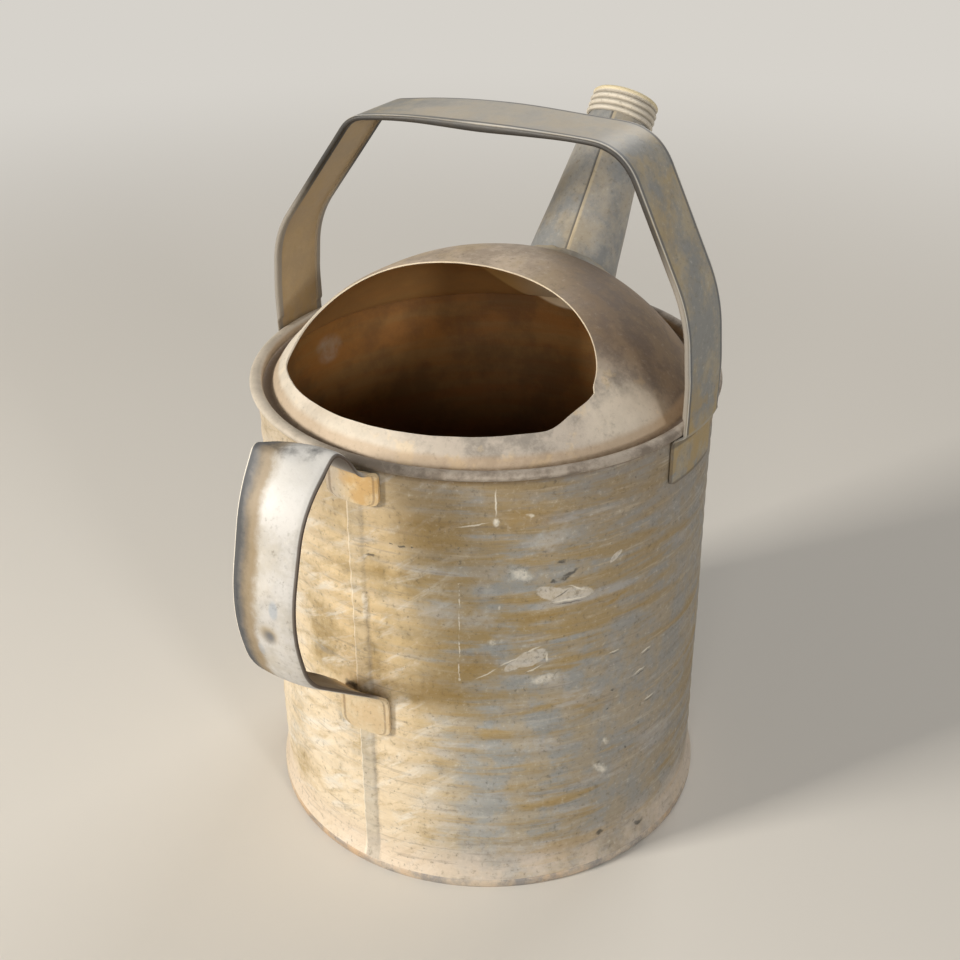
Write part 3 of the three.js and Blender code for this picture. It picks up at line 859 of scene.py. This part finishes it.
def painted_light_round_spout(paint, base):
    """Painted light: a pale pool of light painted on the inside round the spout's hole."""
    ahead, across, height = paint.parts(paint.place)
    lit_disc = paint.blot(paint.flat(across, height), (10, 239), (35, 35), 0, 0.05)
    tone = paint.mix(paint.ramp(across, 40, 14), colour(236, 190, 118), colour(252, 232, 196))
    return paint.mix(paint.times(lit_disc, paint.ramp(ahead, 30, 50)), base, tone)


def grain(paint, base, fine, amount):
    """Light and dark grains over a colour."""
    base = paint.lay(base, CHALK_AND_GLINT, paint.ramp(fine, 0.54, 0.82), 0.6 * amount)
    return paint.lay(base, colour(84, 74, 58), paint.ramp(fine, 0.48, 0.2), amount)


def drum_stains_and_painted_light(paint, side, height, mottle, thread):
    """Zinc brushed with level ochre stains, cream round the foot; tan and cream to the left, partly a real
    pale wash and partly painted light; painted shade to the right, towards the top and under the rim.
    """
    stroke = paint.noise(paint.stretched(14, 14, 110), 1.0, 7.0, 0.68, 0.5)
    broad = paint.noise(paint.place, 13, 4.0, 0.6, 0.6)
    patchy = paint.ramp(paint.noise(paint.place, 26, 6.0, 0.65), 0.26, 0.56)
    bare = paint.noise(paint.stretched(24, 24, 70), 1.0, 6.0, 0.66, 0.4)
    base = paint.mix(paint.ramp(mottle, 0.4, 0.6), colour(148, 149, 146), GREY_ZINC)
    base = paint.lay(base, colour(182, 178, 173), paint.ramp(bare, 0.52, 0.66), 0.55)
    lean = paint.add(
        paint.times(stroke, 0.85), paint.times(broad, 0.6), paint.times(thread, 0.3),
        paint.times(paint.field("ripple"), 0.06), paint.times(paint.ramp(side, 10, -50), 0.1),
        paint.times(paint.ramp(height, 178, 206), 0.05), paint.times(paint.ramp(side, 20, 90), -0.08),
    )
    base = paint.lay(base, OCHRE, paint.ramp(lean, 0.82, 1.0), 0.85)
    base = paint.lay(base, DEEP_OCHRE, paint.ramp(lean, 0.97, 1.14), 0.75)
    # Painted shade: the drum darker towards the right, away from the light.
    base = paint.lay(base, DARK_ZINC, paint.ramp(side, 10, 80), 0.34)
    # Tan and cream towards the left: partly a real pale wash, partly painted light on the lit side.
    base = paint.lay(base, TAN, paint.times(paint.ramp(side, -8, -52), patchy), 0.75)
    low_left = paint.ramp(paint.add(side, paint.times(broad, 40)), 22, -42)
    low_left = paint.times(low_left, paint.ramp(height, 130, 60))
    cream = paint.math("MAXIMUM", paint.ramp(side, -58, -94), low_left)
    base = paint.lay(base, colour(226, 214, 194), paint.times(cream, patchy), 0.6)
    slant = paint.flat(
        paint.add(paint.times(side, 0.03), paint.times(height, 0.018)),
        paint.add(paint.times(height, 0.11), paint.times(side, -0.08)),
    )
    strokes = paint.ramp(paint.noise(slant, 1.0, 6.0, 0.65, 0.4), 0.5, 0.68)
    base = paint.lay(base, colour(222, 219, 211), paint.times(paint.ramp(side, 4, -40), strokes), 0.6)
    worn = paint.times(paint.ramp(side, -5, -45), paint.ramp(paint.noise(slant, 1.6, 6.0, 0.65), 0.5, 0.3))
    base = paint.lay(base, OCHRE, worn, 0.5)
    foot = paint.times(paint.ramp(paint.add(height, paint.times(mottle, 16)), 36, 16), patchy)
    base = paint.lay(base, FOOT_CREAM, foot, 0.65)
    shade = paint.ramp(paint.add(height, paint.times(mottle, 30)), 165, 235)
    base = paint.lay(base, DARK_ZINC, shade, 0.42)
    # Painted shade: a dark band just under the rim.
    base = paint.lay(base, BROWN, paint.ramp(height, 210.5, 213.0), 0.6)
    base = paint.lay(base, PALE_ZINC, paint.ramp(thread, 0.54, 0.74), 0.4)
    return paint.lay(base, DARK_ZINC, paint.ramp(thread, 0.45, 0.28), 0.4)


def drum_seam(paint, plain, near, height, mottle):
    """Cream line along the seam's folded edge, greyer metal on it and dirt along its far side."""
    across = paint.field("seam_across")
    amount = paint.add(0.15, paint.times(paint.ramp(height, 120, 60), 0.3))
    base = paint.lay(plain, BLUE_ZINC, paint.near_to(across, 0.0, 4.2, 3.2), amount)
    base = paint.lay(base, CREAM, paint.near_to(across, -3.8, 0.9, 0.3), 0.5)
    dirt = paint.times(paint.near_to(across, 3.8, 1.4, 0.4), paint.ramp(mottle, 0.42, 0.6))
    base = paint.lay(base, DARK_ZINC, dirt, 0.3)
    return paint.mix(paint.ramp(near, 0, 20), plain, base)


def drum_marks(paint, base, angle, height, fine):
    """Broad stains, chalky patches and smears, soot, flecks and scratches."""
    ragged = unrolled(paint, angle, height, 5.0)
    crisp = unrolled(paint, angle, height, 1.6)
    wide = unrolled(paint, angle, height, 14.0)
    thin = paint.add(0.4, paint.times(paint.ramp(fine, 0.35, 0.6), 0.3))
    broken = paint.add(0.25, paint.times(paint.ramp(fine, 0.35, 0.62), 0.5))
    dotted = paint.times(paint.ramp(fine, 0.36, 0.56), 0.85)
    layers = [
        (OCHRE_STAINS, wide, 0.9, DEEP_OCHRE, 0.5),
        (SILVER_STAINS, wide, 0.9, colour(180, 178, 174), 0.5),
        (OCHRE_FLECKS, ragged, 0.7, DEEP_OCHRE, 0.55),
        (CHALK_PATCHES, crisp, 0.15, colour(206, 200, 190), thin),
        (CHALK_SMEARS, ragged, 0.7, CHALK_AND_GLINT, broken),
        (SOOT_MARKS, ragged, 0.7, SOOT, 0.8),
        (DARK_LINES, crisp, 0.7, SOOT, 0.65),
        (CHALK_LINES, crisp, 0.7, CHALK_AND_GLINT, 0.75),
        (SCRATCHES, crisp, 0.7, CHALK_AND_GLINT, dotted),
    ]
    for marks, wall, edge, tone, share in layers:
        base = paint.lay(base, tone, marks_mask(paint, wall, marks, edge), share)
    return base


def drum_material():
    paint = Paint("drum_zinc")
    angle, side, near, height = round_the_can(paint)
    thread = paint.noise(paint.stretched(36, 36, 480), 1.0, 5.0, 0.62)
    mottle = paint.noise(paint.place, 70, 6.0, 0.65)
    fine = paint.noise(paint.place, 420, 5.0, 0.7)
    base = drum_stains_and_painted_light(paint, side, height, mottle, thread)
    base = drum_seam(paint, base, near, height, mottle)
    base = drum_marks(paint, base, angle, height, fine)
    specks = paint.ramp(paint.noise(paint.place, 330, 2.0, 0.5), 0.70, 0.77)
    base = paint.lay(base, SOOT, specks, 0.45)
    base = grain(paint, base, fine, 0.7)
    inside = paint.ramp(paint.field("inside"), 0.3, 0.7)
    # Inside: rusty brown, with painted shade towards the floor and a painted pool of light round the
    # spout's hole.
    rust_shade_and_light = painted_light_round_spout(paint, rusty_inside_with_shade(paint, height))
    worn = paint.times(paint.blot(paint.flat(side, height), (-78, 196), (7, 9)), paint.ramp(near, 0, -20))
    rust_shade_and_light = paint.lay(rust_shade_and_light, PALE_ZINC, paint.times(worn, paint.ramp(mottle, 0.35, 0.65)), 0.45)
    base = paint.mix(inside, base, rust_shade_and_light)
    rough = paint.add(0.5, paint.times(mottle, 0.2))
    metal = paint.times(paint.math("SUBTRACT", 1.0, inside), 0.15)
    relief = paint.add(paint.times(mottle, 0.5), paint.times(fine, 0.3), paint.times(thread, 0.4))
    return paint.done(base, rough, metal, relief, 0.0008)


def plain_zinc(name, first, second, stain, amount):
    """Mottled zinc with a stain, for pieces with no marks of their own."""
    paint = Paint(name)
    mottle = paint.noise(paint.place, 62, 7.0, 0.68)
    broad = paint.noise(paint.place, 20, 5.0, 0.62, 0.5)
    fine = paint.noise(paint.place, 420, 5.0, 0.7)
    base = paint.mix(paint.ramp(mottle, 0.38, 0.62), first, second)
    lean = paint.add(paint.times(broad, 0.8), paint.times(mottle, 0.4))
    base = paint.lay(base, stain, paint.ramp(lean, 0.54, 0.72), amount)
    specks = paint.ramp(paint.noise(paint.place, 360, 2.0), 0.70, 0.77)
    base = paint.lay(base, SOOT, specks, 0.45)
    return paint, grain(paint, base, fine, 0.55), mottle, fine


def finish_zinc(paint, base, mottle, fine, metal, rough):
    shine = paint.add(rough, paint.times(mottle, 0.2))
    relief = paint.add(paint.times(mottle, 0.6), paint.times(fine, 0.4))
    return paint.done(base, shine, metal, relief, 0.0005)


def hood_material():
    paint, base, mottle, fine = plain_zinc(
        "hood_zinc", colour(160, 144, 126), colour(194, 178, 160), OCHRE, 0.4,
    )
    _, side, near, height = round_the_can(paint)
    reach = paint.math("SQRT", paint.add(paint.times(side, side), paint.times(near, near)))
    soft_side = paint.shaken(side, mottle, 30)
    brown = paint.mix(paint.ramp(mottle, 0.4, 0.6), colour(82, 58, 32), colour(110, 86, 56))
    shaded = paint.times(paint.ramp(soft_side, 12, 52), paint.ramp(near, 66, 44))
    base = paint.lay(base, brown, shaded, 0.92)
    bright = paint.math("MAXIMUM", paint.ramp(near, 35, 70), paint.ramp(side, -45, -85))
    collar = paint.mix(paint.ramp(mottle, 0.4, 0.6), colour(146, 140, 132), colour(188, 178, 166))
    collar = paint.lay(collar, TAN, paint.ramp(paint.noise(paint.place, 90, 5.0), 0.56, 0.66), 0.5)
    # Painted light: cream on the collar's lit left side.
    collar = paint.lay(collar, CREAM, paint.ramp(soft_side, -5, -65), 0.7)
    base = paint.lay(base, collar, bright, 0.85)
    # Painted light: a pale lit patch on the dome's right beside the mouth.
    wear_and_light_patch = paint.blot(paint.flat(soft_side, near), (58, 68), (26, 15), -40, 0.7)
    base = paint.lay(base, colour(224, 212, 194), wear_and_light_patch, 0.75)
    low = paint.add(height, paint.times(mottle, 3.0))
    base = paint.lay(base, colour(178, 152, 120), paint.ramp(low, 221.5, 219.0), 0.6)
    # Painted shade: dark in the channel inside the rim, where the rim's shadow falls.
    channel = paint.times(paint.ramp(low, 216.6, 214.6), paint.ramp(reach, 100.8, 99.6))
    base = paint.lay(base, BROWN, channel, 0.85)
    rim = paint.mix(paint.ramp(mottle, 0.4, 0.6), colour(108, 99, 90), colour(160, 151, 140))
    # Painted light: cream on the rim's lit left side.
    rim = paint.lay(rim, CREAM, paint.ramp(side, -50, -95), 0.5)
    base = paint.lay(base, rim, paint.ramp(reach, 100.0, 100.9), 0.85)
    base = grain(paint, base, fine, 0.3)
    base = paint.lay(base, colour(222, 208, 182), paint.field("cut_edge"), 0.8)
    # Inside of the hood: rusty tones, with a painted pool of light round the spout's hole.
    inner = paint.mix(0.5, rusty_inside_with_shade(paint, height), colour(218, 164, 100))
    inner = painted_light_round_spout(paint, inner)
    base = paint.mix(paint.ramp(paint.field("inside"), 0.3, 0.7), base, inner)
    return finish_zinc(paint, base, mottle, fine, 0.12, 0.5)


def spout_material():
    paint, base, mottle, fine = plain_zinc(
        "spout_zinc", colour(138, 139, 138), colour(168, 163, 154), OCHRE, 0.3,
    )
    across = paint.field("across")
    ridge = paint.times(paint.ramp(across, -2.3, -2.0), paint.ramp(across, -0.2, -1.2))
    base = paint.lay(base, colour(204, 186, 152), ridge, 0.55)
    crease = paint.times(paint.ramp(across, -3.6, -2.6), paint.ramp(across, -2.0, -2.3))
    base = paint.lay(base, SOOT, crease, 0.7)
    base = paint.mix(paint.field("inside"), base, BROWN)
    return finish_zinc(paint, base, mottle, fine, 0.2, 0.44)


def collar_material():
    paint, base, mottle, fine = plain_zinc(
        "collar_zinc", colour(206, 198, 184), colour(196, 188, 172), CREAM, 0.5,
    )
    # Painted shade in the thread's grooves.
    base = paint.lay(base, colour(116, 106, 90), paint.ramp(paint.field("groove"), 0.55, 0.95), 0.65)
    base = paint.lay(base, colour(214, 198, 154), paint.ramp(paint.field("along"), 0.8, 0.88), 0.7)
    return finish_zinc(paint, base, mottle, fine, 0.1, 0.5)


def strap_material():
    paint, base, mottle, fine = plain_zinc(
        "strap_zinc", colour(128, 128, 125), colour(158, 149, 131), OCHRE, 0.5,
    )
    _, _, _, height = round_the_can(paint)
    side = paint.math("ABSOLUTE", paint.field("across"))
    under = paint.field("under")
    hemmed = paint.ramp(height, 213.0, 214.5)
    worn = paint.ramp(paint.add(height, paint.times(mottle, 6)), 329, 334)
    base = paint.lay(base, colour(194, 188, 178), worn, 0.55)
    patch = paint.ramp(paint.noise(paint.place, 85, 6.0, 0.66), 0.46, 0.56)
    base = paint.lay(base, OCHRE, paint.times(paint.ramp(height, 250, 214), patch), 0.6)
    base = paint.lay(base, colour(192, 164, 120), paint.ramp(under, 0.6, 0.9), 0.65)
    # Dark line just inside the hem roll: partly dark bare steel, partly painted shade in the crease beside
    # the roll.
    inside_edge = paint.times(paint.near_to(side, 0.88, 0.07, 0.03), hemmed)
    base = paint.lay(base, colour(70, 75, 82), inside_edge, 0.7)
    # Painted shade on the hem roll's underside: near black along the top, grey down the legs.
    hem = paint.times(paint.times(paint.ramp(under, 0.15, 0.26), paint.ramp(side, 0.76, 0.82)), hemmed)
    leg = paint.ramp(height, 300, 270)
    hem_colour = paint.mix(leg, colour(38, 35, 33), colour(146, 139, 129))
    base = paint.lay(base, hem_colour, hem, 0.92)
    # Painted highlight: a thin bright line along the top of the hem roll.
    line = paint.times(paint.near_to(under, 0.06, 0.1, 0.05), paint.ramp(side, 0.915, 0.94))
    line = paint.times(line, hemmed)
    base = paint.lay(base, colour(214, 210, 202), line, 0.8)
    # Painted shadow: a dark gap line round the tab's edges.
    edge = paint.math("MAXIMUM", paint.ramp(side, 1.06, 1.12), paint.ramp(paint.field("to_end"), 1.8, 0.8))
    tab_edge = paint.times(edge, paint.ramp(height, 214, 211.5))
    base = paint.lay(base, colour(78, 64, 48), tab_edge, 0.6)
    # Painted highlight where the strap bends round the rim's bead.
    base = paint.lay(base, colour(156, 152, 144), paint.near_to(height, 214.4, 1.0, 0.4), 0.5)
    # Painted shade below the strap's step out over the rim.
    base = paint.lay(base, colour(72, 62, 50), paint.near_to(height, 210.6, 1.8, 0.8), 0.6)
    return finish_zinc(paint, base, mottle, fine, 0.2, 0.42)


def grip_dimple(paint, base):
    """Dark struck mark in the grip, with an ochre crescent and pale smudges round it."""
    _, across, height = paint.parts(paint.place)
    face = paint.flat(across, height)
    blots = [
        (OCHRE, 0.6, (-1.6, 167.6), (6.6, 6.2), 0.8),
        (colour(84, 90, 100), 0.8, (-1.8, 166.0), (4.4, 4.8), 0.9),
        (colour(140, 152, 166), 0.5, (-5.2, 179.6), (2.6, 5.0), 0.5),
        (colour(150, 160, 170), 0.4, (3.6, 158.0), (2.0, 4.0), 0.5),
    ]
    for tone, share, centre, size, edge in blots:
        base = paint.lay(base, tone, paint.blot(face, centre, size, 0, edge), share)
    return base


def grip_tab(paint, across, height, mottle, fine):
    """Ochre and cream tabs, greyer on the upper one's left, with a painted shadow line along the pressed
    edge.
    """
    patch = paint.ramp(paint.noise(paint.place, 95, 5.0, 0.6), 0.4, 0.6)
    tab = paint.mix(patch, colour(192, 158, 106), colour(204, 184, 148))
    left = paint.ramp(paint.shaken(across, mottle, 2.0), -0.1, 0.8)
    grey = paint.times(left, paint.ramp(height, 150, 190))
    tab = paint.lay(tab, colour(172, 163, 150), grey, 0.75)
    tab = paint.lay(tab, colour(196, 180, 152), paint.ramp(height, 130, 100), 0.6)
    # Painted shadow: a dark line along the tab's pressed edge.
    pressed = paint.near_to(paint.math("ABSOLUTE", across), 0.84, 0.07, 0.02)
    tab = paint.lay(tab, BROWN, pressed, 0.45)
    return grain(paint, tab, fine, 0.7)


def grip_material():
    paint, base, mottle, fine = plain_zinc(
        "grip_zinc", colour(194, 191, 187), colour(174, 170, 163), colour(206, 196, 178), 0.3,
    )
    _, _, _, height = round_the_can(paint)
    across = paint.field("across")
    free = paint.field("free")
    inner = paint.field("inner")
    wear_and_light_patch = paint.ramp(paint.add(height, paint.times(mottle, 12)), 212, 232)
    base = paint.lay(base, colour(222, 221, 218), wear_and_light_patch, 0.6)
    ragged = paint.shaken(across, mottle, 0.6)
    band = paint.times(paint.ramp(ragged, 0.1, 0.45), paint.ramp(ragged, 0.9, 0.6))
    base = paint.lay(base, colour(130, 108, 70), band, 0.8)
    # Dark left edge: partly worn dark steel, partly painted shade and dark reflection on the strip turned
    # away from the light.
    left_edge = paint.times(paint.ramp(ragged, 0.45, 0.85), free)
    base = paint.lay(base, colour(44, 48, 55), left_edge, 0.92)
    # Painted highlight: a thin bright line where the left edge catches the light.
    base = paint.mix(paint.times(paint.ramp(across, 0.965, 0.99), free), base, CHALK_AND_GLINT)
    # Painted shade on the turned right edge.
    right_edge = paint.times(paint.ramp(across, -0.93, -0.97), free)
    base = paint.lay(base, colour(66, 52, 40), right_edge, 0.88)
    # Painted shade: a dark band along the top bend.
    slope = paint.add(paint.shaken(height, mottle, 10), paint.times(across, -1.5))
    top = paint.times(paint.ramp(slope, 233.6, 236.8), paint.ramp(across, -0.85, -0.5))
    base = paint.lay(base, colour(48, 51, 57), top, 0.88)
    base = grip_dimple(paint, base)
    tab = grip_tab(paint, across, height, mottle, fine)
    base = paint.mix(paint.ramp(free, 0.5, 0.1), base, tab)
    # Painted shade on the inner face, between the grip and the drum.
    base = paint.lay(base, colour(70, 53, 40), inner, 0.92)
    return finish_zinc(paint, base, mottle, fine, 0.12, 0.5)


def floor_pan_material():
    paint, base, mottle, fine = plain_zinc(
        "floor_zinc", colour(142, 138, 134), colour(196, 180, 160), colour(196, 160, 118), 0.6,
    )
    _, _, _, height = round_the_can(paint)
    base = paint.mix(paint.ramp(height, 5.2, 6.8), base, colour(64, 44, 26))
    return finish_zinc(paint, base, mottle, fine, 0.15, 0.48)


def solder_material():
    paint, base, mottle, fine = plain_zinc("solder", GREY_ZINC, BLUE_ZINC, BROWN, 0.4)
    return finish_zinc(paint, base, mottle, fine, 0.25, 0.42)


# Stage, camera and light

BACKDROP = colour(214, 210, 203)
FADE_START = 0.55
FADE_END = 1.5


def seen_directly(paint):
    """1 for the camera and for reflections, 0 for the light that falls on the can."""
    path = paint.node("LightPath")
    return paint.math("MAXIMUM", path.outputs["Is Camera Ray"], path.outputs["Is Glossy Ray"])


def ground():
    """Plain pale floor that keeps the shadow near the can and fades into the backdrop far from it."""
    half = 6.0
    mesh = bpy.data.meshes.new("ground")
    corners = [(-half, -half, 0), (half, -half, 0), (half, half, 0), (-half, half, 0)]
    mesh.from_pydata(corners, [], [(0, 1, 2, 3)])
    floor = add_object("ground", mesh)
    paint = Paint("ground")
    shader = paint.node("BsdfPrincipled")
    shader.inputs["Base Color"].default_value = BACKDROP
    shader.inputs["Roughness"].default_value = 0.9
    far = paint.node("Emission")
    far.inputs["Color"].default_value = BACKDROP
    fade = paint.times(paint.ramp(paint.length(paint.place), FADE_START, FADE_END), seen_directly(paint))
    blend = paint.node("MixShader")
    paint.put(blend.inputs[0], fade)
    paint.put(blend.inputs[1], shader.outputs[0])
    paint.put(blend.inputs[2], far.outputs[0])
    output = paint.node("OutputMaterial")
    paint.put(output.inputs["Surface"], blend.outputs[0])
    mesh.materials.append(paint.material)


# The spout's direction in the picture, the camera's place and the lamps' target, in metres
SPOUT_RIGHT = 0.524
SPOUT_AWAY = 0.852
CAMERA_BACK = 0.59613
CAMERA_HIGH = 0.48945
LAMPS_AIM = Vector((0, 0, 0.13))


def from_picture(right, away, up):
    """The can's frame for a direction given as right, away and up in the picture."""
    return Vector((
        SPOUT_RIGHT * right + SPOUT_AWAY * away,
        SPOUT_RIGHT * away - SPOUT_AWAY * right,
        up,
    ))


def camera():
    """Camera at the photograph's place, with its pitch, slight turn and slight roll."""
    pitch = 0.509
    yaw = -0.0052
    roll = -0.009
    ahead = Vector((math.sin(yaw) * math.cos(pitch), math.cos(yaw) * math.cos(pitch), -math.sin(pitch)))
    right = Vector((math.cos(yaw), -math.sin(yaw), 0))
    up = right.cross(ahead)
    right, up = math.cos(roll) * right + math.sin(roll) * up, math.cos(roll) * up - math.sin(roll) * right
    data = bpy.data.cameras.new("camera")
    data.sensor_width = 36
    data.lens = 54.342
    data.clip_start = 0.05
    holder = add_object("camera", data)
    axes = Matrix([from_picture(*right), from_picture(*up), -from_picture(*ahead)]).transposed()
    place = from_picture(0, -CAMERA_BACK, CAMERA_HIGH) + Vector((AXIS_X * MM, 0, 0))
    holder.matrix_world = Matrix.Translation(place) @ axes.to_4x4()
    bpy.context.scene.camera = holder


def lamp(name, place, size, power, tint):
    """Soft square lamp that looks at the middle of the can."""
    data = bpy.data.lights.new(name, "AREA")
    data.size = size
    data.energy = power
    data.color = tint
    holder = add_object(name, data)
    holder.location = place
    holder.rotation_mode = "QUATERNION"
    holder.rotation_quaternion = (LAMPS_AIM - place).to_track_quat("-Z", "Y")


def lights():
    """A warm key from the left, one lamp from the front right, one by the camera and one behind."""
    lamp("key", from_picture(-1.92, -0.86, 1.07), 0.45, 52, (1.0, 0.95, 0.87))
    lamp("second", from_picture(1.05, -1.81, 0.81), 0.3, 13, (1.0, 0.98, 0.95))
    lamp("front", from_picture(-0.3, -2.13, 0.96), 0.6, 10, (1.0, 0.97, 0.93))
    lamp("back", from_picture(0.92, 1.59, 1.67), 1.0, 16, (1.0, 0.98, 0.95))


def backdrop():
    """Weak even light from all round, seen as a pale backdrop."""
    world = bpy.data.worlds.new("studio")
    bpy.context.scene.world = world
    world.use_nodes = True
    tree = world.node_tree
    soft = tree.nodes["Background"]
    soft.inputs["Color"].default_value = (1.0, 0.985, 0.96, 1)
    soft.inputs["Strength"].default_value = 0.14
    pale = tree.nodes.new("ShaderNodeBackground")
    pale.inputs["Color"].default_value = BACKDROP
    path = tree.nodes.new("ShaderNodeLightPath")
    direct = tree.nodes.new("ShaderNodeMath")
    direct.operation = "MAXIMUM"
    blend = tree.nodes.new("ShaderNodeMixShader")
    tree.links.new(path.outputs["Is Camera Ray"], direct.inputs[0])
    tree.links.new(path.outputs["Is Glossy Ray"], direct.inputs[1])
    tree.links.new(direct.outputs[0], blend.inputs[0])
    tree.links.new(soft.outputs[0], blend.inputs[1])
    tree.links.new(pale.outputs[0], blend.inputs[2])
    tree.links.new(blend.outputs[0], tree.nodes["World Output"].inputs["Surface"])


drum(drum_material())
floor_pan(floor_pan_material())
hood(hood_material())
spout(spout_material())
solder(solder_material())
collar(collar_material())
bail(strap_material())
grip(grip_material())
ground()
camera()
lights()
backdrop()
bpy.context.scene.view_settings.view_transform = "Standard"
